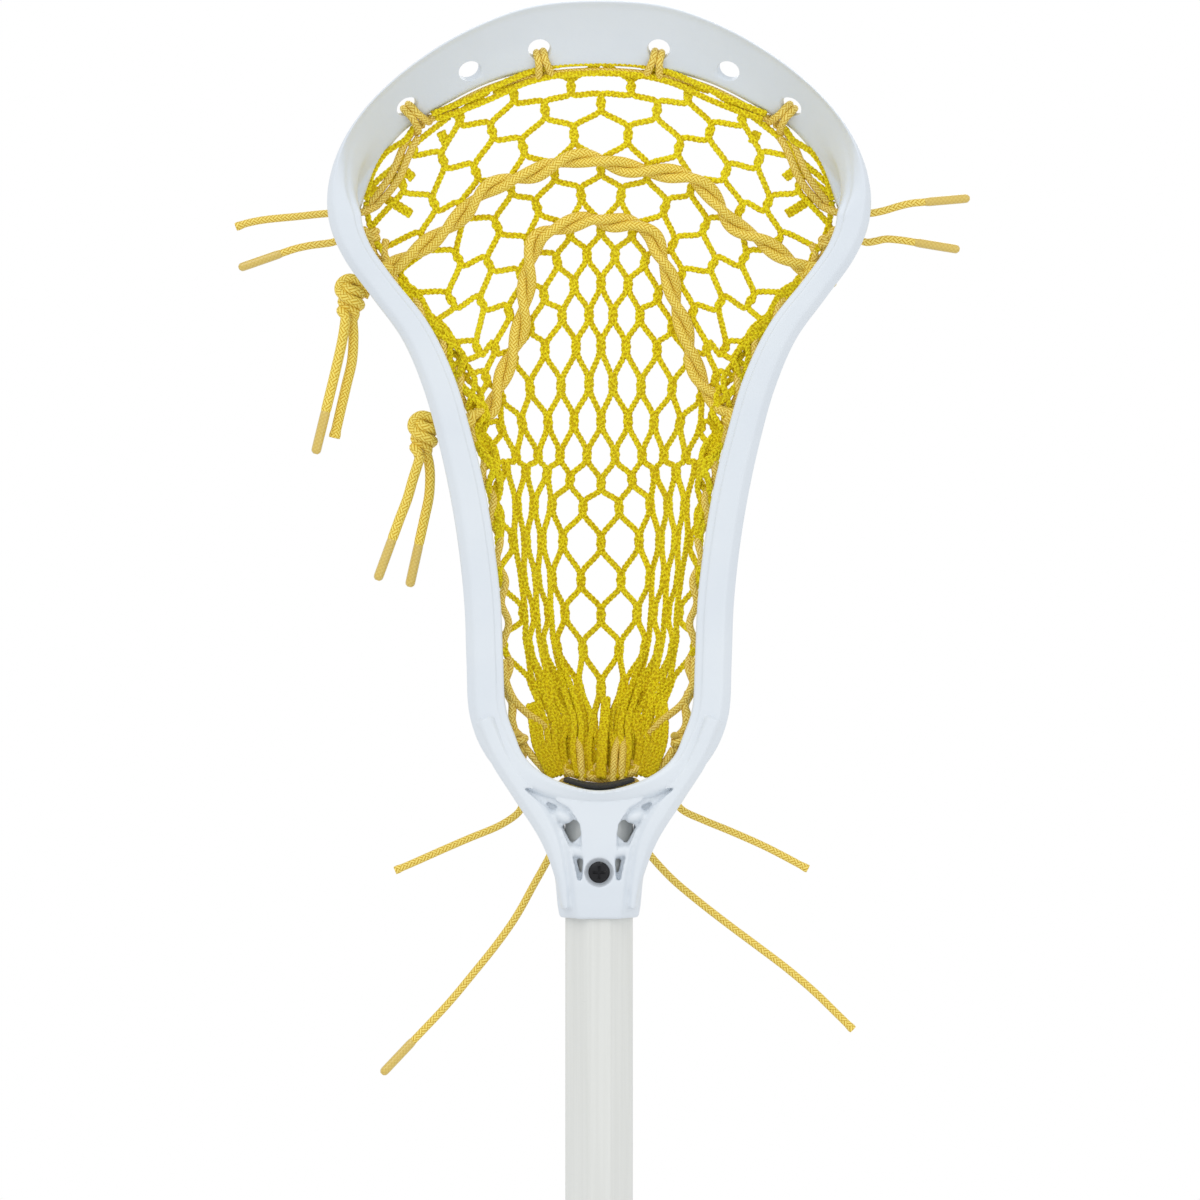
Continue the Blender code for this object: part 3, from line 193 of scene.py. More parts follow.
class Graph:
    """A material's node tree, built with expressions."""

    def __init__(self, owner: bpy.types.ID) -> None:
        """Start with an empty tree.

        Args:
            owner: The material or world that the tree belongs to.
        """
        self.owner = owner
        owner.use_nodes = True
        self.tree = owner.node_tree
        self.tree.nodes.clear()

    @classmethod
    def finish(cls, name: str) -> "Graph":
        """The tree of a new material."""
        return cls(bpy.data.materials.new(name))

    def node(
        self, kind: str, settings: dict[str, object] | None = None,
        inputs: dict[object, object] | None = None, output: str | int = 0,
    ) -> Signal:
        """Add any node.

        Args:
            kind: The node's type.
            settings: The node's own settings, which are set first.
            inputs: Values or signals by the socket's name or number.
            output: The socket to give back.

        Returns:
            The node's output. A closing node has none.
        """
        made = self.tree.nodes.new(kind)
        for name, value in (settings or {}).items():
            setattr(made, name, value)
        for name, value in (inputs or {}).items():
            if isinstance(value, Signal):
                self.tree.links.new(value.socket, made.inputs[name])
            else:
                made.inputs[name].default_value = value
        return Signal(self, made.outputs[output] if len(made.outputs) else None)

    def place(self, scale: Sequence[float] = (1.0, 1.0, 1.0)) -> Signal:
        """Object coordinates, stretched.

        Args:
            scale: The stretch along each axis.

        Returns:
            The coordinates.
        """
        spot = self.node("ShaderNodeTexCoord", output="Object")
        return self.node("ShaderNodeMapping", None, {"Vector": spot, "Scale": scale})

    def noise(self, where: Signal, scale: float, detail: float = 2.0) -> Signal:
        """Smooth noise from nought to one.

        Args:
            where: The coordinates.
            scale: Waves to a metre.
            detail: Octaves.

        Returns:
            The noise.
        """
        inputs = {"Vector": where, "Scale": scale, "Detail": detail}
        return self.node("ShaderNodeTexNoise", None, inputs)

    def blend(self, share: Signal | float, low: object, high: object) -> Signal:
        """Mix two colours.

        Args:
            share: Nought for low, one for high.
            low: A colour or a signal.
            high: A colour or a signal.

        Returns:
            The colour.
        """
        settings = {"data_type": "RGBA"}
        inputs = {0: share, 6: self.color(low), 7: self.color(high)}
        return self.node("ShaderNodeMix", settings, inputs, 2)

    @staticmethod
    def color(value: object) -> object:
        """A colour with its alpha, or the signal as it is."""
        return value if isinstance(value, Signal) else (*value, 1.0)

    def along_and_around(self) -> tuple[Signal, Signal]:
        """A cord's own coordinates.

        Returns:
            Metres along the cord, and turns round it.
        """
        spot = self.node("ShaderNodeTexCoord", output="UV")
        along = self.node("ShaderNodeSeparateXYZ", None, {0: spot}, "Y")
        return along, along.beside("X")

    def up(self) -> Signal:
        """The height in object coordinates, with the other two coordinates beside it."""
        spot = self.node("ShaderNodeTexCoord", output="Object")
        return self.node("ShaderNodeSeparateXYZ", None, {0: spot}, "Z")

    def surface(
        self, base: Signal, roughness: Signal | float, height: Signal, depth: float,
        **sockets: float,
    ) -> bpy.types.Material:
        """Close the material with a Principled shader and a bump.

        Args:
            base: The colour.
            roughness: The roughness.
            height: The relief, from nought to one.
            depth: The relief's depth in metres.
            sockets: Other sockets of the shader, with underscores for spaces.

        Returns:
            The material.
        """
        relief = {"Height": height, "Strength": 1.0, "Distance": depth}
        bump = self.node("ShaderNodeBump", None, relief)
        inputs = {"Base Color": base, "Roughness": roughness, "Normal": bump}
        inputs.update({name.replace("_", " "): value for name, value in sockets.items()})
        shader = self.node("ShaderNodeBsdfPrincipled", None, inputs)
        self.node("ShaderNodeOutputMaterial", None, {"Surface": shader})
        return self.owner


@dataclass(frozen=True)
class NylonFinish:
    """Injection-moulded nylon: cool white, satin, with the faintest sink and grain."""

    pale: tuple = (0.750, 0.795, 0.840)
    deep: tuple = (0.720, 0.768, 0.822)
    roughness: float = 0.33
    sink_scale: float = 22.0
    grain_scale: float = 1900.0
    relief: float = 0.00004

    def material(self) -> bpy.types.Material:
        """Build the material.

        Returns:
            The material.
        """
        graph = Graph.finish("moulded_nylon_white")
        where = graph.place()
        cloud = graph.noise(where, self.sink_scale, 3.0)
        grain = graph.noise(where, self.grain_scale)
        base = graph.blend(cloud.eased(0.35, 0.65), self.deep, self.pale)
        rough = self.roughness + 0.08 * (cloud - 0.5) + 0.06 * (grain - 0.5)
        height = grain * 0.25 + cloud * 0.75
        return graph.surface(base, rough, height, self.relief, IOR=1.5)


@dataclass(frozen=True)
class AlloyFinish:
    """Satin paint on an extruded tube: warm white with faint draw lines and a few scuffs."""

    pale: tuple = (0.760, 0.765, 0.735)
    deep: tuple = (0.725, 0.730, 0.700)
    scuff: tuple = (0.55, 0.55, 0.53)
    roughness: float = 0.36
    draw_scale: float = 700.0
    peel_scale: float = 1300.0
    scuff_scale: float = 60.0
    relief: float = 0.00003

    def material(self) -> bpy.types.Material:
        """Build the material.

        Returns:
            The material.
        """
        graph = Graph.finish("painted_alloy_white")
        streak = graph.noise(graph.place((1.0, 1.0, 0.02)), self.draw_scale)
        peel = graph.noise(graph.place(), self.peel_scale, 1.0)
        marks = graph.noise(graph.place((1.0, 1.0, 6.0)), self.scuff_scale, 4.0).eased(0.70, 0.76)
        base = graph.blend(streak.eased(0.3, 0.7), self.deep, self.pale)
        base = graph.blend(marks * 0.25, base, self.scuff)
        rough = self.roughness + 0.07 * (streak - 0.5) + 0.15 * marks
        height = streak * 0.4 + peel * 0.6
        return graph.surface(base, rough, height, self.relief, Coat_Weight=0.15)


@dataclass(frozen=True)
class KnitFinish:
    """The pocket's knitted cord: slanting stitches, with painted shade in their hollows, painted
    highlight on their tops and painted shade darkening it towards the foot.
    """

    # light is the painted highlight on the stitch tops, deep the painted shade in their hollows
    light: tuple = (0.920, 0.785, 0.014)
    deep: tuple = (0.600, 0.415, 0.002)
    worn: tuple = (0.860, 0.770, 0.045)
    # Painted shade: the colour the cord darkens to towards the foot, and the heights over which it fades
    # out
    painted_foot_shade: tuple = (0.580, 0.370, 0.002)
    painted_foot_shade_heights: tuple = (0.0400, 0.0720)
    stitch: float = 0.0028
    roughness: float = 0.62
    fuzz_scale: float = 3800.0
    wear_scale: float = 60.0
    relief: float = 0.00016

    def material(self) -> bpy.types.Material:
        """Build the material.

        Returns:
            The material.
        """
        graph = Graph.finish("knitted_mesh_yellow")
        along, around = graph.along_and_around()
        slant = (along * (TURN / self.stitch) + around * TURN).sine()
        cross = (along * (TURN / self.stitch) - around * TURN).sine()
        hollow = (slant * cross * 0.5 + 0.5).eased(0.10, 0.90)
        fuzz = graph.noise(graph.place(), self.fuzz_scale, 3.0)
        # Painted shade and highlight: the stitch hollows take the deep colour, the stitch tops the light
        # one
        shade = (hollow * 0.88 + fuzz.eased(0.30, 0.70) * 0.12).eased(0.08, 0.66)
        broad = graph.noise(graph.place(), self.wear_scale)
        base = graph.blend(shade, self.deep, self.light)
        base = graph.blend(broad.eased(0.35, 0.7) * 0.16, base, self.worn)
        # Painted shade: below these heights the cord's colour darkens towards the pocket's foot
        low, high = (COLLAR_Z + height for height in self.painted_foot_shade_heights)
        foot_shade_share = 1.0 - graph.up().eased(low, high)
        base = graph.blend(foot_shade_share * 0.55, base, self.painted_foot_shade)
        height = hollow * 0.85 + fuzz * 0.15
        return graph.surface(base, self.roughness, height, self.relief, Specular_IOR_Level=0.15)


@dataclass(frozen=True)
class BraidFinish:
    """A braided lace: crossing carriers that pass over and under each other, with painted shade where
    they dip and a painted highlight on their crests.
    """

    name: str
    light: tuple = (0.920, 0.700, 0.125)
    deep: tuple = (0.540, 0.275, 0.012)
    painted_highlight: tuple = (0.960, 0.840, 0.350)
    pitch: float = 0.0026
    carriers: float = 3.0
    roughness: float = 0.50
    fibre_scale: float = 4200.0
    relief: float = 0.00011

    def material(self) -> bpy.types.Material:
        """Build the material.

        Returns:
            The material.
        """
        graph = Graph.finish(self.name)
        along, around = graph.along_and_around()
        forth = along * (TURN / self.pitch) + around * (self.carriers * TURN)
        back = along * (TURN / self.pitch) - around * (self.carriers * TURN)
        left, right = forth.sine().size(), back.sine().size()
        swap = (forth * 0.5).sine() * (back * 0.5).sine()
        top = swap.over(0.0)
        height = left * top + right * (1.0 - top)
        fibre = graph.noise(graph.place(), self.fibre_scale)
        rise = height * 0.85 + fibre * 0.15
        # Painted shade and highlight: the carriers' low places take the deep colour, their high places
        # the light one
        base = graph.blend(rise.eased(0.15, 0.70), self.deep, self.light)
        # Painted highlight on the carriers' crests
        base = graph.blend(height.eased(0.78, 1.0) * 0.35, base, self.painted_highlight)
        rough = self.roughness - 0.12 * (height - 0.5)
        return graph.surface(base, rough, rise, self.relief, Specular_IOR_Level=0.25)


@dataclass(frozen=True)
class SleeveFinish:
    """The clear plastic sleeve on a lace's end, with the braid dimly seen through it."""

    light: tuple = (0.800, 0.605, 0.145)
    deep: tuple = (0.600, 0.405, 0.065)
    roughness: float = 0.22
    braid_pitch: float = 0.0014
    carriers: float = 6.0
    film_scale: float = 900.0
    relief: float = 0.00003

    def material(self) -> bpy.types.Material:
        """Build the material.

        Returns:
            The material.
        """
        graph = Graph.finish("lace_sleeve_amber")
        along, around = graph.along_and_around()
        rows = (along * (TURN / self.braid_pitch)).sine()
        braid = rows * (around * (self.carriers * TURN)).sine()
        film = graph.noise(graph.place(), self.film_scale)
        base = graph.blend((braid * 0.5 + 0.5) * 0.6 + film * 0.3, self.deep, self.light)
        rough = self.roughness + 0.15 * film
        return graph.surface(base, rough, film, self.relief, Coat_Weight=0.6)


@dataclass(frozen=True)
class RubberFinish:
    """Black rubber with a fine grip of small diamonds and some dust in it."""

    deep: tuple = (0.016, 0.016, 0.017)
    dust: tuple = (0.060, 0.058, 0.055)
    diamond: float = 0.0022
    roughness: float = 0.72
    wear_scale: float = 160.0
    relief: float = 0.00015

    def material(self) -> bpy.types.Material:
        """Build the material.

        Returns:
            The material.
        """
        graph = Graph.finish("cap_rubber_black")
        up = graph.up()
        around = up.beside("X") + up.beside("Y")
        turns = TURN / self.diamond
        grip = ((up + around) * turns).sine() * ((up - around) * turns).sine()
        worn = graph.noise(graph.place(), self.wear_scale, 4.0)
        base = graph.blend(worn.eased(0.45, 0.75), self.deep, self.dust)
        rough = self.roughness + 0.2 * (worn - 0.5)
        return graph.surface(base, rough, grip * 0.5 + 0.5, self.relief)


@dataclass(frozen=True)
class FoamFinish:
    """Black closed-cell foam with its fine cells on the cut faces."""

    deep: tuple = (0.010, 0.010, 0.010)
    pale: tuple = (0.045, 0.043, 0.040)
    roughness: float = 0.88
    cell_scale: float = 2600.0
    broad_scale: float = 300.0
    relief: float = 0.00012

    def material(self) -> bpy.types.Material:
        """Build the material.

        Returns:
            The material.
        """
        graph = Graph.finish("pad_foam_black")
        where = graph.place()
        inputs = {"Vector": where, "Scale": self.cell_scale}
        cells = graph.node("ShaderNodeTexVoronoi", {"feature": "F1"}, inputs, "Distance")
        broad = graph.noise(where, self.broad_scale, 3.0)
        base = graph.blend(cells * 0.6 + broad * 0.4, self.deep, self.pale)
        return graph.surface(base, self.roughness + 0.1 * (broad - 0.5), cells, self.relief)


@dataclass(frozen=True)
class SteelFinish:
    """Blackened screw steel, turned, with the black rubbed off its highest rings."""

    black: tuple = (0.030, 0.030, 0.032)
    bare: tuple = (0.220, 0.215, 0.205)
    roughness: float = 0.34
    rub_scale: float = 900.0
    broad_scale: float = 240.0
    relief: float = 0.00003

    def material(self) -> bpy.types.Material:
        """Build the material.

        Returns:
            The material.
        """
        graph = Graph.finish("screw_steel_black")
        where = graph.place()
        rub = graph.noise(where, self.rub_scale, 4.0)
        broad = graph.noise(where, self.broad_scale)
        worn = (rub * 0.6 + broad * 0.4).eased(0.56, 0.72)
        base = graph.blend(worn * 0.6, self.black, self.bare)
        return graph.surface(base, self.roughness + 0.2 * rub, rub, self.relief, Metallic=0.9)


class Wardrobe:
    """Every finish of the stick, built once."""

    def __init__(self) -> None:
        """Build the materials."""
        self.nylon = NylonFinish().material()
        self.alloy = AlloyFinish().material()
        self.knit = KnitFinish().material()
        self.lace = BraidFinish("lace_braid_gold").material()
        self.shooter = BraidFinish(
            "shooter_braid_gold", light=(0.950, 0.735, 0.100), deep=(0.570, 0.295, 0.010),
            pitch=0.0027, carriers=4.0,
        ).material()
        self.sleeve = SleeveFinish().material()
        self.rubber = RubberFinish().material()
        self.foam = FoamFinish().material()
        self.steel = SteelFinish().material()


def clamped(value: float) -> float:
    """A value kept from nought to one."""
    return min(max(value, 0.0), 1.0)


def smooth_through(values: Sequence[Sequence[float]], position: float) -> tuple[float, ...]:
    """Catmull-Rom through rows of numbers.

    Args:
        values: The rows.
        position: The place, counted in rows.

    Returns:
        The row at that place.
    """
    last = len(values) - 1
    start = min(max(int(position), 0), last - 1)
    share = position - start
    rows = [values[min(max(start + k, 0), last)] for k in (-1, 0, 1, 2)]
    if start == 0:
        rows[0] = tuple(2 * a - b for a, b in zip(rows[1], rows[2]))
    if start == last - 1:
        rows[3] = tuple(2 * a - b for a, b in zip(rows[2], rows[1]))
    return tuple(
        b + 0.5 * share * (c - a + share * (2 * a - 5 * b + 4 * c - d + share * (3 * (b - c) + d - a)))
        for a, b, c, d in zip(*rows)
    )


def between(guides: Sequence[tuple[float, float]], place: float) -> float:
    """Smooth value of a list of guides whose places fall steadily.

    Args:
        guides: Places with their values.
        place: Where to read it.

    Returns:
        The value there.
    """
    if place >= guides[0][0]:
        return guides[0][1]
    for k, ((high, _), (low, _)) in enumerate(zip(guides, guides[1:])):
        if place >= low:
            share = (high - place) / (high - low)
            return smooth_through([(value,) for _, value in guides], k + share)[0]
    return guides[-1][1]


def evenly(route: Sequence[Vector], spacing: float, fine: int = 12) -> list[Vector]:
    """Points along a smooth curve through a route.

    Args:
        route: The points to pass through.
        spacing: The most distance between two points of the result.
        fine: Steps between two points of the route.

    Returns:
        The even points.
    """
    rows = [tuple(point) for point in route]
    steps = fine * (len(route) - 1)
    dense = [Vector(smooth_through(rows, k / fine)) for k in range(steps + 1)]
    travelled = [0.0]
    for before, after in zip(dense, dense[1:]):
        travelled.append(travelled[-1] + (after - before).length)
    count = max(math.ceil(travelled[-1] / spacing), 2)
    points = [dense[0]]
    k = 0
    for step in range(1, count):
        target = travelled[-1] * step / count
        while travelled[k + 1] < target:
            k += 1
        share = (target - travelled[k]) / (travelled[k + 1] - travelled[k])
        points.append(dense[k].lerp(dense[k + 1], share))
    return [*points, dense[-1]]


def length_of(points: Sequence[Vector]) -> float:
    """The length of a line."""
    return sum((after - before).length for before, after in zip(points, points[1:]))


class Spot(NamedTuple):
    """A point of a cord's line, the way to it, and the directions to its side and to the front."""

    point: Vector
    travelled: float
    side: Vector
    out: Vector


def walked(points: Sequence[Vector]) -> list[Spot]:
    """Every point of a line with its directions.

    Args:
        points: The line.

    Returns:
        The spots, in the line's order.
    """
    spots = []
    travelled = 0.0
    for k, point in enumerate(points):
        before = points[max(k - 1, 0)]
        after = points[min(k + 1, len(points) - 1)]
        travelled += (point - before).length
        along = (after - before).normalized()
        side = along.cross(FRONT).normalized()
        spots.append(Spot(point, travelled, side, side.cross(along).normalized()))
    return spots


def mirrored(point: Vector, side: int = -1) -> Vector:
    """A point of the right half, or its mirror image."""
    return Vector((side * point.x, point.y, point.z))


def reflected(points: Sequence[Vector]) -> list[Vector]:
    """The mirror image of a line of the right half."""
    return [mirrored(point) for point in points]


def whole_line(half: Sequence[Vector]) -> list[Vector]:
    """A line from end to end, from its right half, which starts on the middle line."""
    return [*reflected(half[:0:-1]), *half]


def above_collar(half: float, depth: float, height: float) -> Vector:
    """A point given in half-width, depth and height above the collar."""
    return Vector((half, depth, COLLAR_Z + height))


def sight(column: float, row: float, depth: float) -> Vector:
    """The place seen at a pixel of the picture, at a depth.

    Args:
        column: Pixels from the left.
        row: Pixels from the top.
        depth: The place's Y.

    Returns:
        The place.
    """
    reach = (depth - FRONT_PLANE + VIEW_DISTANCE) / VIEW_DISTANCE
    scale = reach * VIEW_WIDTH / PICTURE_SIZE
    middle = PICTURE_SIZE / 2
    x = VIEW_CENTRE[0] + (column - middle) * scale
    z = VIEW_CENTRE[1] + (middle - row) * scale
    return Vector((x, depth, z))


class Piece:
    """Turns meshes into the stick's finished pieces."""

    @staticmethod
    def keep(
        name: str, data: bpy.types.ID, material: bpy.types.Material, slot: Slot,
        stands_for: Sequence[str] = (), body: Body = Body.STICK,
    ) -> bpy.types.Object:
        """Make an object of this data, dress it and let it ride on its body.

        Args:
            name: The piece's name.
            data: Its mesh or curve.
            material: Its finish.
            slot: The record's slot that it would take; not used.
            stands_for: The solids that it stands for.
            body: The body that it rides on.

        Returns:
            The piece.
        """
        made = Piece.linked(name, data)
        data.materials.clear()
        data.materials.append(material)
        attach(made, body.value)
        if stands_for:
            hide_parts(*stands_for)
        LOG.info("%s made", name)
        return made

    @staticmethod
    def linked(name: str, data: bpy.types.ID) -> bpy.types.Object:
        """A new object in the scene.

        Args:
            name: Its name.
            data: Its data.

        Returns:
            The object.
        """
        made = bpy.data.objects.new(name, data)
        bpy.context.scene.collection.objects.link(made)
        return made

    @classmethod
    def cords(
        cls, name: str, strands: Sequence["Strand"], material: bpy.types.Material, slot: Slot,
        node: str,
    ) -> bpy.types.Object:
        """Make and dress one piece of round cords.

        Args:
            name: The piece's name.
            strands: The cords.
            material: Its finish.
            slot: The record's slot, passed on to keep, which doesn't use it.
            node: The solid that it stands for.

        Returns:
            The piece.
        """
        return cls.keep(name, cord_mesh(name, strands), material, slot, [node])

    @staticmethod
    def smoothed(data: bpy.types.Mesh) -> bpy.types.Mesh:
        """A mesh, shaded smooth but for its sharp edges.

        Args:
            data: The mesh.

        Returns:
            The same mesh.
        """
        data.shade_smooth()
        data.set_sharp_from_angle(angle=SMOOTH_ANGLE)
        return data

    @staticmethod
    def mesh(name: str, shape: bmesh.types.BMesh) -> bpy.types.Mesh:
        """A mesh from a bmesh, which is freed.

        Args:
            name: The mesh's name.
            shape: The bmesh.

        Returns:
            The mesh, as flat faces.
        """
        data = bpy.data.meshes.new(name)
        shape.to_mesh(data)
        shape.free()
        return data

    @staticmethod
    def smooth_mesh(name: str, shape: bmesh.types.BMesh) -> bpy.types.Mesh:
        """A smoothed mesh from a bmesh, which is freed."""
        return Piece.smoothed(Piece.mesh(name, shape))

    @staticmethod
    def evaluated(made: bpy.types.Object) -> bpy.types.Mesh:
        """The mesh that an object's modifiers give.

        Args:
            made: The object, which is removed.

        Returns:
            The mesh.
        """
        bpy.context.scene.collection.objects.link(made)
        graph = bpy.context.evaluated_depsgraph_get()
        data = bpy.data.meshes.new_from_object(made.evaluated_get(graph))
        bpy.data.objects.remove(made, do_unlink=True)
        return data


class Strand(NamedTuple):
    """One cord of a piece: its even points, its diameter and how its girth swells along it."""

    points: list[Vector]
    diameter: float
    swell: Callable[[float], float] = lambda along: 1.0
    sides: int = 2


def cord_mesh(name: str, strands: Sequence[Strand]) -> bpy.types.Mesh:
    """Round cords joined in one mesh, with turns and metres as their UV coordinates.

    Args:
        name: The mesh's name.
        strands: The cords.

    Returns:
        The mesh.
    """
    shape = bmesh.new()
    shape.loops.layers.uv.new("UVMap")
    for strand in strands:
        data = bpy.data.curves.new(name, "CURVE")
        data.dimensions = "3D"
        data.bevel_depth = strand.diameter / 2
        data.bevel_resolution = strand.sides
        data.use_fill_caps = True
        line = data.splines.new("POLY")
        line.points.add(len(strand.points) - 1)
        travelled = 0.0
        before = strand.points[0]
        for spot, place in zip(line.points, strand.points):
            travelled += (place - before).length
            spot.co = (*place, 1.0)
            spot.radius = strand.swell(travelled)
            before = place
        tube = Piece.evaluated(bpy.data.objects.new(name, data))
        for corner in tube.uv_layers["UVMap"].data:
            corner.uv = (corner.uv[1], corner.uv[0] * travelled)
        shape.from_mesh(tube)
        bpy.data.meshes.remove(tube)
        bpy.data.curves.remove(data)
    bmesh.ops.remove_doubles(shape, verts=shape.verts, dist=MERGE_DISTANCE)
    return Piece.smooth_mesh(name, shape)


class Shaper:
    """Modelling steps that the rigid pieces share."""

    @staticmethod
    def opened(data: bpy.types.Mesh) -> bmesh.types.BMesh:
        """A mesh as a bmesh.

        Args:
            data: The mesh.

        Returns:
            Its bmesh.
        """
        shape = bmesh.new()
        shape.from_mesh(data)
        return shape

    @staticmethod
    def box(size: Sequence[float]) -> bmesh.types.BMesh:
        """A box of this size round the origin.

        Args:
            size: Its width, depth and height.

        Returns:
            The box.
        """
        shape = bmesh.new()
        bmesh.ops.create_cube(shape, size=1.0)
        bmesh.ops.scale(shape, verts=shape.verts, vec=size)
        return shape

    @staticmethod
    def ring(shape: bmesh.types.BMesh, points: Sequence) -> list[bmesh.types.BMEdge]:
        """A closed ring of edges through some points, added to a shape."""
        verts = [shape.verts.new(point) for point in points]
        return [shape.edges.new(pair) for pair in zip(verts, [*verts[1:], verts[0]])]

    @staticmethod
    def skin(rings: Sequence[Sequence[Vector]]) -> bmesh.types.BMesh:
        """A closed skin through rings of as many points each, with a face at either end.

        Args:
            rings: The rings, in their order.

        Returns:
            The skin.
        """
        shape = bmesh.new()
        loops = [Shaper.ring(shape, ring) for ring in rings]
        bmesh.ops.bridge_loops(shape, edges=[edge for loop in loops for edge in loop])
        for loop in (loops[0], loops[-1]):
            bmesh.ops.contextual_create(shape, geom=loop)
        bmesh.ops.recalc_face_normals(shape, faces=shape.faces)
        return shape

    @staticmethod
    def rounded(corners: Sequence[Vector], radius: float, steps: int = 4) -> list[Vector]:
        """A closed outline with its corners rounded.

        Args:
            corners: The corners.
            radius: How far from a corner its rounding starts at most.
            steps: Points to a corner.

        Returns:
            The rounded outline.
        """
        points = []
        for before, corner, after in zip(
            [corners[-1], *corners[:-1]], corners, [*corners[1:], corners[0]]
        ):
            start = corner.lerp(before, min(radius / (corner - before).length, 0.45))
            end = corner.lerp(after, min(radius / (corner - after).length, 0.45))
            for k in range(steps):
                share = k / (steps - 1)
                points.append(start.lerp(corner, share).lerp(corner.lerp(end, share), share))
        return points

    @staticmethod
    def prism(outline: Sequence[tuple], low: float, high: float) -> bmesh.types.BMesh:
        """An outline in half-width and height above the collar, drawn out in depth.

        Args:
            outline: The corners.
            low: The depth of the front face.
            high: The depth of the back face.

        Returns:
            The prism.
        """
        shape = bmesh.new()
        edges = Shaper.ring(shape, [above_collar(half, low, height) for half, height in outline])
        bmesh.ops.contextual_create(shape, geom=edges)
        raised = bmesh.ops.extrude_face_region(shape, geom=shape.faces[:])["geom"]
        moved = [item for item in raised if isinstance(item, bmesh.types.BMVert)]
        bmesh.ops.translate(shape, verts=moved, vec=(0.0, high - low, 0.0))
        bmesh.ops.recalc_face_normals(shape, faces=shape.faces)
        return shape

    @staticmethod
    def turned(profile: Sequence[tuple[float, float]], steps: int = 32) -> bmesh.types.BMesh:
        """A profile of radius and height turned round the Z axis.

        Args:
            profile: The profile, which starts and ends on the axis.
            steps: The facets round it.

        Returns:
            The solid.
        """
        shape = bmesh.new()
        verts = [shape.verts.new((radius, 0.0, height)) for radius, height in profile]
        edges = [shape.edges.new(pair) for pair in zip(verts, verts[1:])]
        bmesh.ops.spin(
            shape, geom=[*verts, *edges], cent=(0.0, 0.0, 0.0), axis=UP, angle=TURN, steps=steps,
            use_merge=True,
        )
        bmesh.ops.remove_doubles(shape, verts=shape.verts, dist=MERGE_DISTANCE)
        bmesh.ops.recalc_face_normals(shape, faces=shape.faces)
        return shape

    @staticmethod
    def placed(shape: bmesh.types.BMesh, axis: Vector, centre: Vector) -> bmesh.types.BMesh:
        """Turn a shape's Z axis onto another and move it there.

        Args:
            shape: The shape.
            axis: Where its Z axis points.
            centre: Where its origin goes.

        Returns:
            The shape.
        """
        turn = UP.rotation_difference(axis).to_matrix().to_4x4()
        matrix = Matrix.Translation(centre) @ turn
        bmesh.ops.transform(shape, verts=shape.verts, matrix=matrix)
        return shape

    @staticmethod
    def mirrored(shape: bmesh.types.BMesh) -> bmesh.types.BMesh:
        """The shape's mirror image across the stick's plane, as a copy.

        Args:
            shape: The shape.

        Returns:
            The image.
        """
        image = shape.copy()
        bmesh.ops.scale(image, verts=image.verts, vec=(-1.0, 1.0, 1.0))
        bmesh.ops.reverse_faces(image, faces=image.faces)
        return image

    @staticmethod
    def together(shapes: Sequence[bmesh.types.BMesh]) -> bpy.types.Mesh:
        """One mesh of several shapes, which are freed.

        Args:
            shapes: The shapes.

        Returns:
            The mesh.
        """
        joined = bmesh.new()
        for shape in shapes:
            part = Piece.mesh("part", shape)
            joined.from_mesh(part)
            bpy.data.meshes.remove(part)
        return Piece.mesh("together", joined)

    @classmethod
    def carved(
        cls, data: bpy.types.Mesh, groups: Sequence[Sequence[bmesh.types.BMesh]]
    ) -> bpy.types.Mesh:
        """Cut groups of shapes out of a mesh.

        Args:
            data: The closed mesh.
            groups: The cutters. Those of one group don't touch each other.

        Returns:
            The cut mesh.
        """
        body = bpy.data.objects.new("body", data)
        tools = []
        for group in groups:
            tool = Piece.linked("cutter", cls.together(group))
            cut = body.modifiers.new("cut", "BOOLEAN")
            cut.operation = "DIFFERENCE"
            cut.solver = "EXACT"
            cut.object = tool
            tools.append(tool)
        result = Piece.evaluated(body)
        for tool in tools:
            bpy.data.objects.remove(tool, do_unlink=True)
        return result

    @staticmethod
    def remeshed(data: bpy.types.Mesh, voxel: float) -> bpy.types.Mesh:
        """A mesh made anew as one closed skin of even faces.

        Args:
            data: Closed shapes, which may run into each other.
            voxel: The size of the new faces.

        Returns:
            The skin.
        """
        body = bpy.data.objects.new("body", data)
        step = body.modifiers.new("remesh", "REMESH")
        step.mode = "VOXEL"
        step.voxel_size = voxel
        return Piece.evaluated(body)


class Station(NamedTuple):
    """One section of the hoop's right half: its outer edge, width, depths and kind."""

    half: float
    height: float
    width: float
    front: float
    back: float
    rail: float


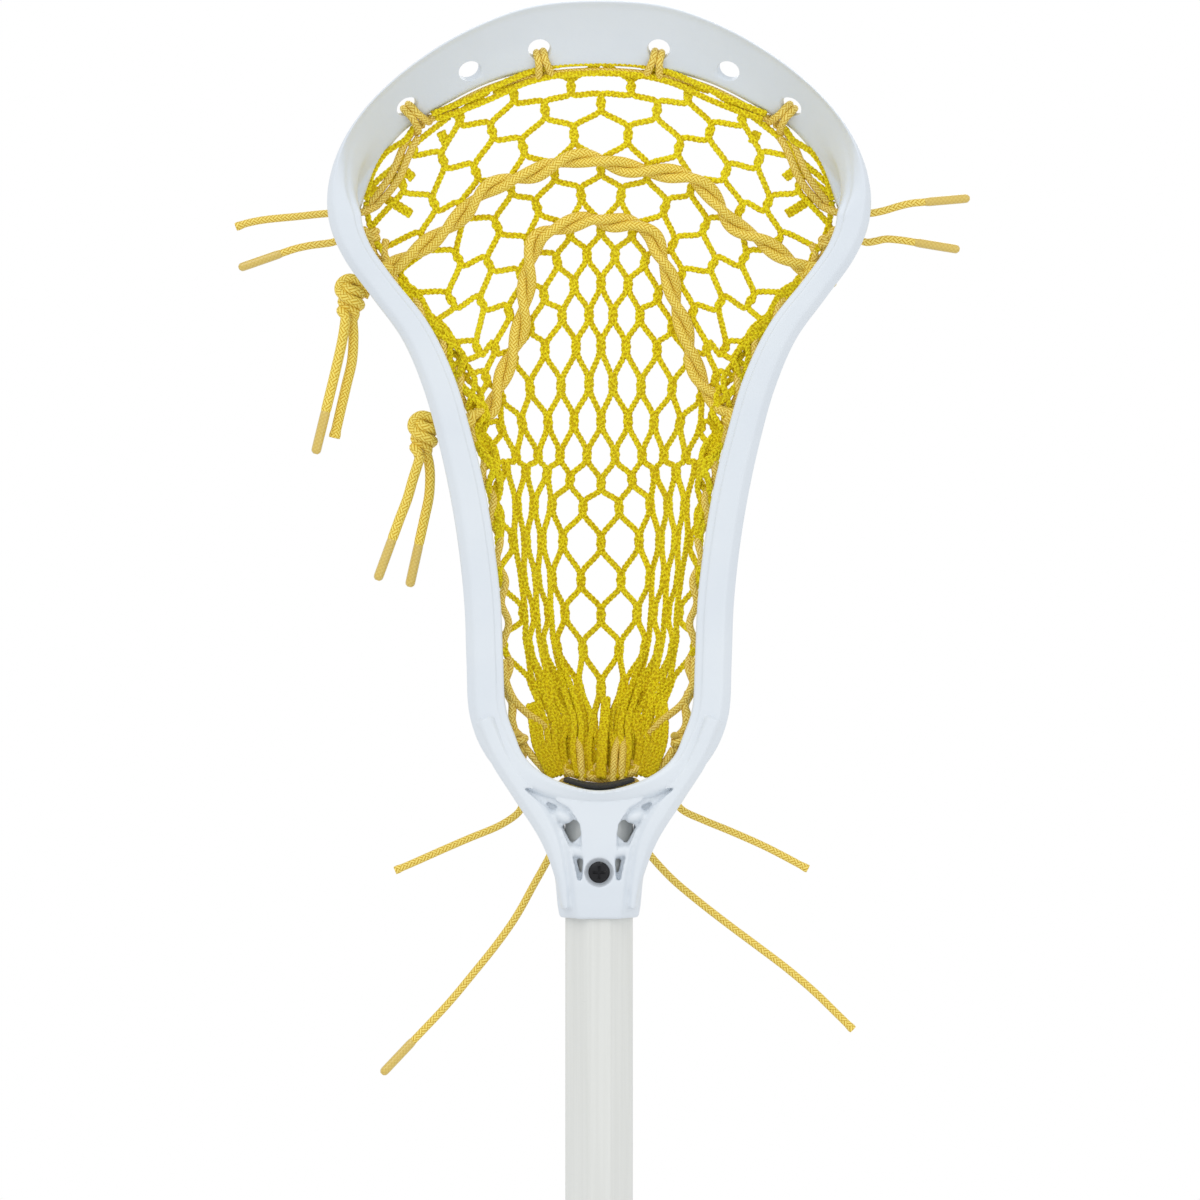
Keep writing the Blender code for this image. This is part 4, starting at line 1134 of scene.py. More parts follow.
HOOP = (
    Station(0.0000, 0.2989, 0.0195, -0.0170, 0.0010, 0.0),
    Station(0.0220, 0.2970, 0.0192, -0.0170, 0.0013, 0.0),
    Station(0.0420, 0.2897, 0.0168, -0.0168, 0.0022, 0.0),
    Station(0.0595, 0.2792, 0.0150, -0.0165, 0.0036, 0.0),
    Station(0.0736, 0.2670, 0.0125, -0.0160, 0.0056, 0.0),
    Station(0.0832, 0.2540, 0.0123, -0.0155, 0.0080, 0.1),
    Station(0.0881, 0.2405, 0.0121, -0.0150, 0.0104, 0.5),
    Station(0.0882, 0.2275, 0.0110, -0.0145, 0.0124, 1.0),
    Station(0.0832, 0.2152, 0.0098, -0.0140, 0.0138, 1.0),
    Station(0.0740, 0.2024, 0.0095, -0.0134, 0.0150, 1.0),
    Station(0.0643, 0.1889, 0.0102, -0.0128, 0.0160, 1.0),
    Station(0.0575, 0.1730, 0.0110, -0.0122, 0.0170, 1.0),
    Station(0.0528, 0.1563, 0.0113, -0.0117, 0.0178, 1.0),
    Station(0.0489, 0.1385, 0.0118, -0.0114, 0.0182, 1.0),
    Station(0.0460, 0.1205, 0.0119, -0.0113, 0.0182, 1.0),
    Station(0.0441, 0.1020, 0.0121, -0.0115, 0.0180, 1.0),
    Station(0.0434, 0.0835, 0.0122, -0.0120, 0.0174, 1.0),
    Station(0.0424, 0.0665, 0.0123, -0.0128, 0.0166, 1.0),
    Station(0.0373, 0.0535, 0.0118, -0.0136, 0.0156, 1.0),
    Station(0.0285, 0.0445, 0.0090, -0.0142, 0.0148, 1.0),
    Station(0.0160, 0.0392, 0.0065, -0.0148, 0.0144, 1.0),
    Station(0.0000, 0.0373, 0.0047, -0.0152, 0.0142, 1.0),
)

# The pocket's sag at heights above the collar, as a share of its most
SAG_GUIDES = (
    (0.2800, 0.00), (0.2400, 0.20), (0.2000, 0.48), (0.1600, 0.82), (0.1150, 1.00), (0.0850, 0.88),
    (0.0600, 0.45), (0.0450, 0.00),
)


@dataclass(frozen=True)
class Rim:
    """The line of the hoop, and what hangs from it."""

    band: float = 0.0034
    hollow: float = 0.0010
    back_rail: float = 0.0082
    back_inset: float = 0.0022
    lace_inset: float = 0.0011
    shooter_standoff: float = 0.0041
    sag: float = 0.0280
    net_seat: float = 0.0043
    held_clear: float = 0.0016
    foot: float = 0.0520
    shoulder: float = 0.2350
    first_rail: float = 6.5
    searches: int = 30
    reach: float = 0.02
    edge_step: float = 0.01

    @property
    def end(self) -> float:
        """The last station's number."""
        return len(HOOP) - 1.0

    def at(self, position: float) -> Station:
        """The section at a position.

        Args:
            position: The place along the hoop, in stations.

        Returns:
            The section.
        """
        crown = HOOP[1]._replace(half=-HOOP[1].half)
        foot = HOOP[-2]._replace(half=-HOOP[-2].half)
        place = min(max(position, 0.0), self.end) + 1
        return Station(*smooth_through((crown, *HOOP, foot), place))

    def outward(self, position: float) -> tuple[float, float]:
        """The way out of the hoop.

        Args:
            position: The place along the hoop, in stations.

        Returns:
            The direction, as half-width and height.
        """
        if position - self.reach < 0:
            return (0.0, 1.0)
        if position + self.reach > self.end:
            return (0.0, -1.0)
        before, after = self.at(position - self.reach), self.at(position + self.reach)
        along = Vector((after.half - before.half, after.height - before.height)).normalized()
        return (-along.y, along.x)

    def point(self, position: float, inward: float, depth: float) -> Vector:
        """A point this far in from the outer edge, at this depth.

        Args:
            position: The place along the hoop, in stations.
            inward: The distance in from the outer edge.
            depth: The point's Y.

        Returns:
            The point on the right half.
        """
        station = self.at(position)
        half, height = self.outward(position)
        return above_collar(station.half - inward * half, depth, station.height - inward * height)

    def scoop_face(self, station: Station, share: float) -> float:
        """Depth of the scoop's front, this share of the way in from its lip."""
        hollow = self.hollow * math.sin(math.pi * share)
        return station.front + share * (station.back - self.band - station.front) + hollow

    def lace_line(self, position: float, clear: float) -> Vector:
        """A point of the laces' line, which follows the hoop's inner edge near its back.

        Args:
            position: The place along the hoop, in stations.
            clear: How far in from the inner edge the point is.

        Returns:
            The point on the right half.
        """
        station = self.at(position)
        share = clamped(station.rail)
        inward = station.width - share * self.back_inset + clear
        depth = station.back - (1.0 - share) * self.band / 2 - share * self.lace_inset
        return self.point(position, inward, depth)

    def falling(self, measure: Callable[[float], float], value: float, low: float, high: float) -> float:
        """Where a measure that falls along the hoop has a value.

        Args:
            measure: The measure at a position.
            value: The value.
            low: The first position.
            high: The last position.

        Returns:
            The position.
        """
        for _ in range(self.searches):
            middle = (low + high) / 2
            if measure(middle) > value:
                low = middle
            else:
                high = middle
        return low

    def seam_at(self, height: float, clear: float) -> float:
        """The position where a line this far in from the inner edge passes a height."""
        return self.falling(lambda at: self.lace_line(at, clear).z - COLLAR_Z, height, 0.0, self.end)

    def seam(self, height: float, clear: float) -> Vector:
        """Where a line this far in from the inner edge passes a height above the collar."""
        return self.lace_line(self.seam_at(height, clear), clear)

    def rail_at(self, height: float) -> float:
        """Where the outer edge of the sidewall passes a height."""
        return self.falling(lambda place: self.at(place).height, height, self.first_rail, self.end)

    def scoop_at(self, distance: float) -> float:
        """Where the outer edge is this far round from the crown.

        Args:
            distance: The distance along the edge.

        Returns:
            The position in stations.
        """
        travelled, position = 0.0, 0.0
        last = self.at(0.0)
        while travelled < distance:
            position += self.edge_step
            found = self.at(position)
            travelled += math.hypot(found.half - last.half, found.height - last.height)
            last = found
        return position

    def hole(self, height: float, inward: float, shooter: bool = False) -> tuple[Vector, Vector]:
        """A point on the axis of a hole through the back rail, and the axis.

        Args:
            height: The hole's height.
            inward: How far in from the outer edge the point is.
            shooter: Whether the hole is a shooting string's.

        Returns:
            The point and the way out.
        """
        position = self.rail_at(height)
        half, up = self.outward(position)
        back = self.at(position).back
        depth = back - self.back_rail / 2
        if shooter:
            depth = back - self.lace_inset - self.shooter_standoff
        return self.point(position, inward, depth), Vector((half, 0.0, up))

    def rail_face(self, height: float) -> float:
        """How far in from the outer edge the back rail's inner face is at a height."""
        return self.at(self.rail_at(height)).width - self.back_inset

    def pocket_depth(self, half: float, height: float) -> float:
        """Depth of the pocket's surface at a place in the hoop.

        Args:
            half: The place's half-width.
            height: Its height above the collar.

        Returns:
            The depth.
        """
        edge = self.seam(height, self.net_seat)
        share = min(abs(half) / max(edge.x, abs(half), 0.001), 1.0)
        return edge.y + self.sag * between(SAG_GUIDES, height) * (1.0 - share * share)

    def on_pocket(self, column: float, row: float, standoff: float = 0.0) -> Vector:
        """The place of the pocket that is seen at a pixel of the picture.

        Args:
            column: Pixels from the left.
            row: Pixels from the top.
            standoff: How far in front of the pocket's surface it is.

        Returns:
            The place, no further out than the seam.
        """
        depth = 0.0
        for _ in range(4):
            spot = sight(column, row, depth)
            half, height = spot.x, spot.z - COLLAR_Z
            if self.foot < height < self.shoulder:
                edge = self.seam(height, self.held_clear).x
                half = max(-edge, min(edge, half))
            depth = self.pocket_depth(half, height) - standoff
        return Vector((half, depth, spot.z))


RIM = Rim()


@dataclass
class Head:
    """The moulded head: the scoop and its rails, and the throat with the socket."""

    wardrobe: Wardrobe
    web: float = 0.0034
    front_rail: float = 0.0060
    rim_rounding: float = 0.0015
    corner: float = 0.0011
    bevel_share: float = 0.25
    flat_share: float = 0.78
    lip_tilt: float = 0.0030
    ring_steps: int = 12
    split: float = 16.4
    overlap: float = 1.2
    scoop_hole: float = 0.0074
    scoop_holes: tuple = (0.0225, 0.0497, 0.0754)
    hole_shares: tuple = (0.64, 0.62, 0.57)
    lace_bore: float = 0.0043
    pair_bore: float = 0.0052
    lace_holes: tuple = (
        0.2320, 0.2230, 0.1900, 0.1780, 0.1520, 0.1380, 0.1240, 0.1100, 0.0960, 0.0820, 0.0680
    )
    shooter_holes: tuple = (0.2082, 0.1611)
    windows: tuple = ((0.1960, 0.0240), (0.1575, 0.0280), (0.1170, 0.0280), (0.0790, 0.0240))
    window_reach: float = 0.0160
    window_depth: float = 0.0100
    window_corner: float = 0.0038
    face_shares: tuple = (0.12, 0.20, 0.30, 0.42, 0.58, 0.76, 0.93)
    back_shares: tuple = (0.55, 0.14)
    tilt_width: float = 0.0098
    tilt_range: float = 0.0046
    mouth_flare: float = 0.0004
    voxel: float = 0.00050

    def section(self, position: float) -> list[Vector]:
        """The hoop's section at a position, with rounded corners.

        Args:
            position: The place along the hoop, in stations.

        Returns:
            The section's points on the right half.
        """
        station = RIM.at(position)
        share = clamped(station.rail)
        corners = [
            RIM.point(position, a[0] + share * (b[0] - a[0]), a[1] + share * (b[1] - a[1]))
            for a, b in zip(self.band_corners(station), self.rail_corners(station))
        ]
        return Shaper.rounded(corners, self.corner)

    def band_corners(self, station: Station) -> list[tuple[float, float]]:
        """The scoop's tilted band, from its lip round to its back.

        Args:
            station: The section's sizes.

        Returns:
            The corners, as inward and depth. Their rounding is in shares of the rim's.
        """
        width, front, back, soft = station.width, station.front, station.back, self.rim_rounding
        face, behind = (
            [(share * width, RIM.scoop_face(station, share) + deep) for share in shares]
            for shares, deep in ((self.face_shares, 0.0), (self.back_shares, RIM.band))
        )
        lip = [(0.0, front + 1.7 * soft), (0.5 * soft, front)]
        edge = [
            (width - 0.3 * soft, back - RIM.band), (width, back - 0.5 * RIM.band),
            (width - 0.4 * soft, back),
        ]
        return [*lip, *face, *edge, *behind]

    def rail_corners(self, station: Station) -> list[tuple[float, float]]:
        """The C-shaped rail, from its front round to its back.

        Args:
            station: The section's sizes.

        Returns:
            The corners, as inward and depth. Their rounding is in shares of the rim's.
        """
        width, front, back, soft = station.width, station.front, station.back, self.rim_rounding
        inner = width - RIM.back_inset
        tilted = clamped((self.tilt_width - width) / self.tilt_range)
        tilt = self.lip_tilt * tilted
        flat = self.flat_share * width
        return [
            (0.0, front + 2.4 * soft),
            (self.bevel_share * width, front + 0.75 * tilt),
            (flat, front + 0.2 * soft + 0.1 * tilt),
            (flat + 0.2 * soft, front + (0.65 - 0.4 * tilted) * soft),
            (width - 0.15 * soft, front + 0.85 * soft),
            (width, front + 1.7 * soft),
            (width - 0.2 * soft, front + self.front_rail - soft),
            (self.web + 0.5 * soft, front + self.front_rail + 0.4 * soft),
            (self.web + 0.7 * soft, back - RIM.back_rail - 0.5 * soft),
            (inner, back - RIM.back_rail + 0.3 * soft),
            (inner, back - soft),
            (inner - soft, back),
            (1.7 * soft, back),
            (0.7 * soft, back - 1.3 * soft),
        ]

    def rings(self, low: float, high: float) -> list[list[Vector]]:
        """The hoop's sections between two positions of the right half."""
        count = round((high - low) * self.ring_steps)
        return [self.section(low + (high - low) * k / count) for k in range(count + 1)]

    def flared(self, bore: float, length: float, flare: float) -> bmesh.types.BMesh:
        """A cutter for a hole whose mouths are rounded.

        Args:
            bore: The hole's diameter.
            length: The wall's thickness.
            flare: How far the mouths open out.

        Returns:
            The cutter, along Z.
        """
        radius, half = bore / 2, length / 2
        side = [
            (radius + 3 * flare, half + 2.2 * flare), (radius + flare, half + 0.2 * flare),
            (radius + 0.35 * flare, half - 0.3 * flare), (radius, half - flare),
        ]
        foot = [(reach, -height) for reach, height in reversed(side)]
        top, bottom = (0.0, side[0][1]), (0.0, -side[0][1])
        return Shaper.turned([top, *side, *foot, bottom])

    def both(self, shape: bmesh.types.BMesh) -> list[bmesh.types.BMesh]:
        """A cutter of the right half and its mirror image."""
        return [shape, Shaper.mirrored(shape)]

    def scoop_cutters(self) -> list[bmesh.types.BMesh]:
        """The cutters of the scoop's six holes.

        Returns:
            The cutters.
        """
        cutters = []
        for distance, share in zip(self.scoop_holes, self.hole_shares):
            hole = ScoopHole.at(distance, share)
            cutter = self.flared(self.scoop_hole, RIM.band, self.mouth_flare)
            cutters += self.both(Shaper.placed(cutter, hole.normal, hole.centre))
        return cutters

    def string_cutters(self) -> list[bmesh.types.BMesh]:
        """The cutters of the holes through the back rails.

        Returns:
            The cutters.
        """
        cutters = []
        drilled = [(height, self.lace_bore, False) for height in self.lace_holes]
        drilled += [(height, self.pair_bore, True) for height in self.shooter_holes]
        for height, bore, shooter in drilled:
            face = RIM.rail_face(height)
            centre, axis = RIM.hole(height, face / 2, shooter)
            cutter = self.flared(bore, face, self.mouth_flare)
            cutters += self.both(Shaper.placed(cutter, axis, centre))
        return cutters

    def window_cutters(self) -> list[bmesh.types.BMesh]:
        """The cutters of the long rounded windows between the two rails.

        Returns:
            The cutters.
        """
        cutters = []
        for height, length in self.windows:
            position = RIM.rail_at(height)
            station = RIM.at(position)
            middle = (station.front + self.front_rail + station.back - RIM.back_rail) / 2
            cutter = Shaper.box((self.window_reach, self.window_depth, length))
            ends = [
                edge
                for edge in cutter.edges
                if abs(edge.verts[0].co.x - edge.verts[1].co.x) > self.window_reach / 2
            ]
            Shaft.bevel(cutter, ends, self.window_corner, 6)
            half, up = RIM.outward(position)
            turn = Matrix.Rotation(-math.atan2(up, half), 4, "Y")
            centre = RIM.point(position, self.web / 2, middle)
            matrix = Matrix.Translation(centre) @ turn
            bmesh.ops.transform(cutter, verts=cutter.verts, matrix=matrix)
            cutters += self.both(cutter)
        return cutters

    def build(self) -> None:
        """Build the head's two pieces, which meet where the rails turn in to the throat."""
        right = self.rings(0.0, self.split)
        left = [reflected(ring) for ring in reversed(right[1:])]
        hoop = Shaper.together([Shaper.skin([*left, *right])])
        cutters = [*self.scoop_cutters(), *self.string_cutters(), *self.window_cutters()]
        hoop = Shaper.carved(hoop, [cutters])
        self.keep("head_scoop_and_rails", hoop)
        self.keep("head_throat", Throat(self).mesh())

    def keep(self, name: str, data: bpy.types.Mesh) -> None:
        """Dress one piece of the head.

        Args:
            name: The piece's name.
            data: Its mesh.
        """
        Piece.keep(name, Piece.smoothed(data), self.wardrobe.nylon, Slot.NYLON, ["head_frame"])


class ScoopHole(NamedTuple):
    """A scoop hole of the right half: its centre and the directions round it."""

    centre: Vector
    across: Vector
    along: Vector
    normal: Vector
    to_edge: float

    @classmethod
    def at(cls, distance: float, share: float) -> "ScoopHole":
        """The hole this far along the rim from the crown.

        Args:
            distance: The distance from the crown.
            share: How far across the band it lies.

        Returns:
            The hole.
        """
        position = RIM.scoop_at(distance)
        station = RIM.at(position)
        depth = RIM.scoop_face(station, share) + RIM.band / 2
        centre = RIM.point(position, share * station.width, depth)
        inner = RIM.point(position, station.width, RIM.scoop_face(station, 1.0))
        outer = RIM.point(position, 0.0, RIM.scoop_face(station, 0.0))
        across = (inner - outer).normalized()
        step = RIM.point(position + 0.05, 0.0, 0.0) - RIM.point(position - 0.05, 0.0, 0.0)
        along = step.normalized()
        to_edge = (1.0 - share) * (inner - outer).length
        return cls(centre, across, along, across.cross(along).normalized(), to_edge)


@dataclass
class Throat:
    """The part of the head below the rails: walls, tongue, struts and the shaft's socket."""

    head: Head
    depth: float = 0.0284
    shaft_width: float = 0.0222
    shaft_flat: float = 0.0070
    socket_depth: float = 0.0363
    fit: float = 0.0003
    collar_wall: float = 0.0015
    socket_wall: float = 0.0022
    collar_height: float = 0.0040
    wall_edge: tuple = (
        (0.0408, 0.0640), (0.0360, 0.0521), (0.0278, 0.0391), (0.0194, 0.0260), (0.0146, 0.0140),
        (0.0122, 0.0030),
    )
    wall_widths: tuple = (0.0080, 0.0085, 0.0085, 0.0078, 0.0050, 0.0030)
    wall_steps: int = 8
    wall_aim: float = 0.05
    wall_swell: float = 0.0010
    swell_height: float = 0.0300
    wall_inset: float = 0.0006
    wall_rounding: float = 0.0030
    wall_flats: tuple = (0.30, 0.68)
    block_halves: tuple = ((0.0110, 0.0006), (0.0200, 0.0018), (0.0300, 0.0044), (0.0395, 0.0070))
    block_deep: tuple = (0.0142, 0.0140, 0.0133, 0.0127)
    block_corner: float = 0.84
    valley: tuple = (
        (0.0262, 0.0440), (0.0204, 0.0391), (0.0174, 0.0368), (0.0145, 0.0327), (0.0119, 0.0290),
        (0.0096, 0.0236), (0.0080, 0.0180), (0.0069, 0.0126), (0.0056, 0.0126), (0.0052, 0.0190),
        (0.0060, 0.0270), (0.0072, 0.0325), (0.0100, 0.0362), (0.0160, 0.0398),
    )
    valley_depth: float = 0.0034
    openings: tuple = (
        ((0.0188, 0.0389), (0.0134, 0.0366), (0.0146, 0.0342)),
        ((0.0121, 0.0300), (0.0088, 0.0326), (0.0064, 0.0314), (0.0058, 0.0272), (0.0090, 0.0243)),
        ((0.0074, 0.0198), (0.0053, 0.0200), (0.0056, 0.0150), (0.0060, 0.0134)),
    )
    struts: tuple = ((0.0119, 0.0335), (0.0073, 0.0221))
    strut_size: tuple = (0.0035, 0.0038, 0.0021)
    strut_set_back: float = 0.0042
    strut_lean: float = math.radians(-28.0)
    screw_height: float = 0.0153
    recess: float = 0.0092
    recess_depth: float = 0.0019
    recess_mouth: float = 0.0022
    recess_reach: float = 0.0020
    softenings: int = 2
    webs: tuple = (0.0085, 0.0035)
    settle_near: float = 0.00035
    settle_far: float = 0.00070

    def walls(self) -> bmesh.types.BMesh:
        """The right side wall, from inside the rail down into the collar.

        Returns:
            The wall.
        """
        rings = []
        last = len(self.wall_edge) - 1
        for k in range(last * self.wall_steps + 1):
            at = k / self.wall_steps
            half, height = smooth_through(self.wall_edge, at)
            width = smooth_through([(w,) for w in self.wall_widths], at)[0]
            before = Vector(smooth_through(self.wall_edge, max(at - self.wall_aim, 0.0)))
            after = Vector(smooth_through(self.wall_edge, min(at + self.wall_aim, last)))
            along = (after - before).normalized()
            inward = Vector((along.y, -along.x))
            swell = self.wall_swell * min(height / self.swell_height, 1.0)
            depth = self.depth / 2 - self.wall_inset + swell
            side = depth - self.wall_rounding
            outer, inner = (share * width for share in self.wall_flats)
            front = [(0.0, -side), (outer, -depth), (inner, -depth), (width, -side)]
            outline = [*front, *[(reach, -deep) for reach, deep in reversed(front)]]
            rings.append(
                [above_collar(half + i * inward.x, y, height + i * inward.y) for i, y in outline]
            )
        return Shaper.skin(rings)

    def block(self) -> bmesh.types.BMesh:
        """The block round the shaft's end, from the collar up to the ball stop.

        Returns:
            The block.
        """
        collar = self.shaft_width / 2 + self.fit + self.collar_wall
        socket = self.shaft_width / 2 + self.fit + self.socket_wall
        sections = [(0.0, collar, collar), (self.collar_height, socket, socket)]
        sections += [
            (height, socket + more, deep)
            for (height, more), deep in zip(self.block_halves, self.block_deep)
        ]
        corner = self.block_corner * (self.shaft_width - self.shaft_flat) / 2
        rings = []
        for height, half, reach in sections:
            right = [(half, -reach + corner), (half, reach - corner), (half - corner, reach)]
            left = [(-half + corner, reach), (-half, reach - corner), (-half, -reach + corner)]
            outline = [*right, *left, (-half + corner, -reach), (half - corner, -reach)]
            rings.append([above_collar(x, y, height) for x, y in outline])
        return Shaper.skin(rings)

    def strut(self, half: float, height: float) -> bmesh.types.BMesh:
        """A rounded strut between the wall and the tongue.

        Args:
            half: The half-width of its middle.
            height: The height of its middle above the collar.

        Returns:
            The strut.
        """
        shape = bmesh.new()
        bmesh.ops.create_uvsphere(shape, u_segments=24, v_segments=16, radius=1.0)
        bmesh.ops.scale(shape, verts=shape.verts, vec=self.strut_size)
        depth = -self.depth / 2 + self.strut_set_back
        matrix = Matrix.Translation(above_collar(half, depth, height))
        turn = Matrix.Rotation(self.strut_lean, 4, "Y")
        bmesh.ops.transform(shape, verts=shape.verts, matrix=matrix @ turn)
        return shape

    def mesh(self) -> bpy.types.Mesh:
        """The throat's skin, cut off where the hoop's fine sections begin.

        Returns:
            The mesh.
        """
        head = self.head
        solids = [self.lip(), *head.both(self.walls()), self.block()]
        body = Shaper.remeshed(Shaper.together(solids), 1.2 * head.voxel)
        body = Shaper.carved(body, self.cutter_groups())
        struts = [piece for spot in self.struts for piece in head.both(self.strut(*spot))]
        body = Shaper.together([Shaper.opened(body), *struts])
        body = Shaper.remeshed(body, head.voxel)
        return self.finished(body)

    def cutter_groups(self) -> list[list[bmesh.types.BMesh]]:
        """The cutters of the bore, the screw, the valleys and openings, and the rail's holes.

        Returns:
            The groups. The cutters of one group don't touch each other.
        """
        head = self.head
        front = -self.depth / 2
        bore = Shaft.bar(
            self.shaft_width + 2 * self.fit,
            self.shaft_flat + 2 * self.fit * FLAT_GROWTH,
            COLLAR_Z - 0.001,
            COLLAR_Z + self.socket_depth,
        )
        screw = above_collar(0.0, front, self.screw_height)
        radius = self.recess / 2
        cup = (
            (0.0, -self.recess_reach),
            (radius + self.recess_mouth, -self.recess_reach),
            (radius + 0.0002, 0.0),
            (radius - 0.0003, self.recess_depth),
            (0.0, self.recess_depth),
        )
        recess = Shaper.placed(Shaper.turned(cup), BACK, screw)
        valleys = head.both(Shaper.prism(self.valley, 2 * front, front + self.valley_depth))
        openings = []
        for outline, web in zip(self.openings, self.webs):
            openings += head.both(Shaper.prism(outline, 2 * front, -web))
            openings += head.both(Shaper.prism(outline, web, -2 * front))
        openings += head.both(Shaper.prism(self.openings[2], 2 * front, -2 * front))
        holes = [*head.string_cutters(), *head.window_cutters()]
        return [[bore], [recess, *valleys], openings, holes]

    def finished(self, data: bpy.types.Mesh) -> bpy.types.Mesh:
        """Soften the skin and cut it off at the hoop's fine sections.

        Args:
            data: The skin.

        Returns:
            The mesh.
        """
        head = self.head
        shape = Shaper.opened(data)
        for _ in range(self.softenings):
            bmesh.ops.smooth_vert(
                shape, verts=shape.verts, factor=0.5, use_axis_x=True, use_axis_y=True,
                use_axis_z=True,
            )
        self.settle(shape)
        joint = RIM.point(head.split, 0.0, 0.0)
        after = RIM.point(head.split + 0.05, 0.0, 0.0)
        before = RIM.point(head.split - 0.05, 0.0, 0.0)
        along = (before - after).normalized()
        for side in (1, -1):
            bmesh.ops.bisect_plane(
                shape,
                geom=[*shape.verts, *shape.edges, *shape.faces],
                plane_co=mirrored(joint, side),
                plane_no=mirrored(along, side),
                clear_outer=True,
            )
        rims = [edge for edge in shape.edges if edge.is_boundary]
        bmesh.ops.holes_fill(shape, edges=rims, sides=0)
        return Piece.mesh("head_throat", shape)

    def lip(self) -> bmesh.types.BMesh:
        """The hoop's fine skin round its foot, from above one cut to above the other.

        Returns:
            The skin.
        """
        right = self.head.rings(self.head.split - self.head.overlap, RIM.end)
        left = [reflected(ring) for ring in reversed(right[:-1])]
        return Shaper.skin([*right, *left])

    def settle(self, shape: bmesh.types.BMesh) -> None:
        """Lay the softened skin on the hoop's fine skin wherever the two are close.

        Args:
            shape: The softened skin.
        """
        fine = self.lip()
        tree = BVHTree.FromBMesh(fine)
        for vert in shape.verts:
            found, _, _, gap = tree.find_nearest(vert.co)
            if gap < self.settle_far:
                share = (self.settle_far - gap) / (self.settle_far - self.settle_near)
                vert.co = vert.co.lerp(found, min(share, 1.0))
        fine.free()


# The net's joints on the right, one row after the other from the top lace down, in the picture's
# pixels right of its middle line and down from its top. Rows alternate between joints on whole
# lanes, the first of them on the middle line, and joints on half lanes.
MIDDLE_COLUMN = 601.0
NET_JOINTS = (
    ((0, 64), (56, 71), (110, 91), (150, 117), (187, 152)),
    ((30, 87), (87, 95), (141, 118), (188, 149), (229, 188)),
    ((0, 103), (56, 110), (109, 131), (158, 160), (199, 184)),
    ((27, 135), (78, 147), (125, 172), (167, 203), (226, 237)),
    ((0, 167), (47, 172), (91, 187), (139, 210), (177, 241)),
    ((20, 195), (64, 207), (104, 226), (143, 258), (197, 281)),
    ((0, 228), (32, 231), (72, 244), (112, 264), (150, 300)),
    ((14, 255), (44, 261), (80, 276), (119, 303), (168, 334)),
    ((0, 283), (27, 285), (57, 295), (92, 312), (124, 348)),
    ((12, 315), (39, 316), (71, 327), (106, 348), (149, 372)),
    ((0, 346), (25, 347), (56, 350), (87, 358), (115, 378)),
    ((12, 384), (40, 386), (71, 388), (100, 396), (130, 418)),
    ((0, 421), (27, 421), (53, 422), (79, 423), (100, 428)),
    ((14, 455), (41, 455), (63, 455), (85, 456), (117, 460)),
    ((0, 484), (31, 480), (54, 474), (75, 472), (95, 468)),
    ((18, 508), (49, 505), (67, 505), (84, 505), (110, 506)),
    ((0, 543), (38, 541), (59, 541), (75, 541), (88, 541)),
    ((20, 580), (49, 578), (64, 578), (78, 578), (106, 578)),
    ((0, 615), (36, 613), (52, 613), (66, 613), (78, 613)),
    ((18, 649), (44, 647), (58, 647), (72, 647), (100, 645)),
    ((0, 687), (22, 687), (38, 687), (52, 687), (68, 685)),
    ((8, 722), (20, 720), (34, 720), (48, 720), (60, 716)),
    ((0, 754), (14, 752), (28, 750), (40, 748), (50, 744)),
    ((7, 778), (19, 777), (30, 776), (40, 772), (48, 764)),
)


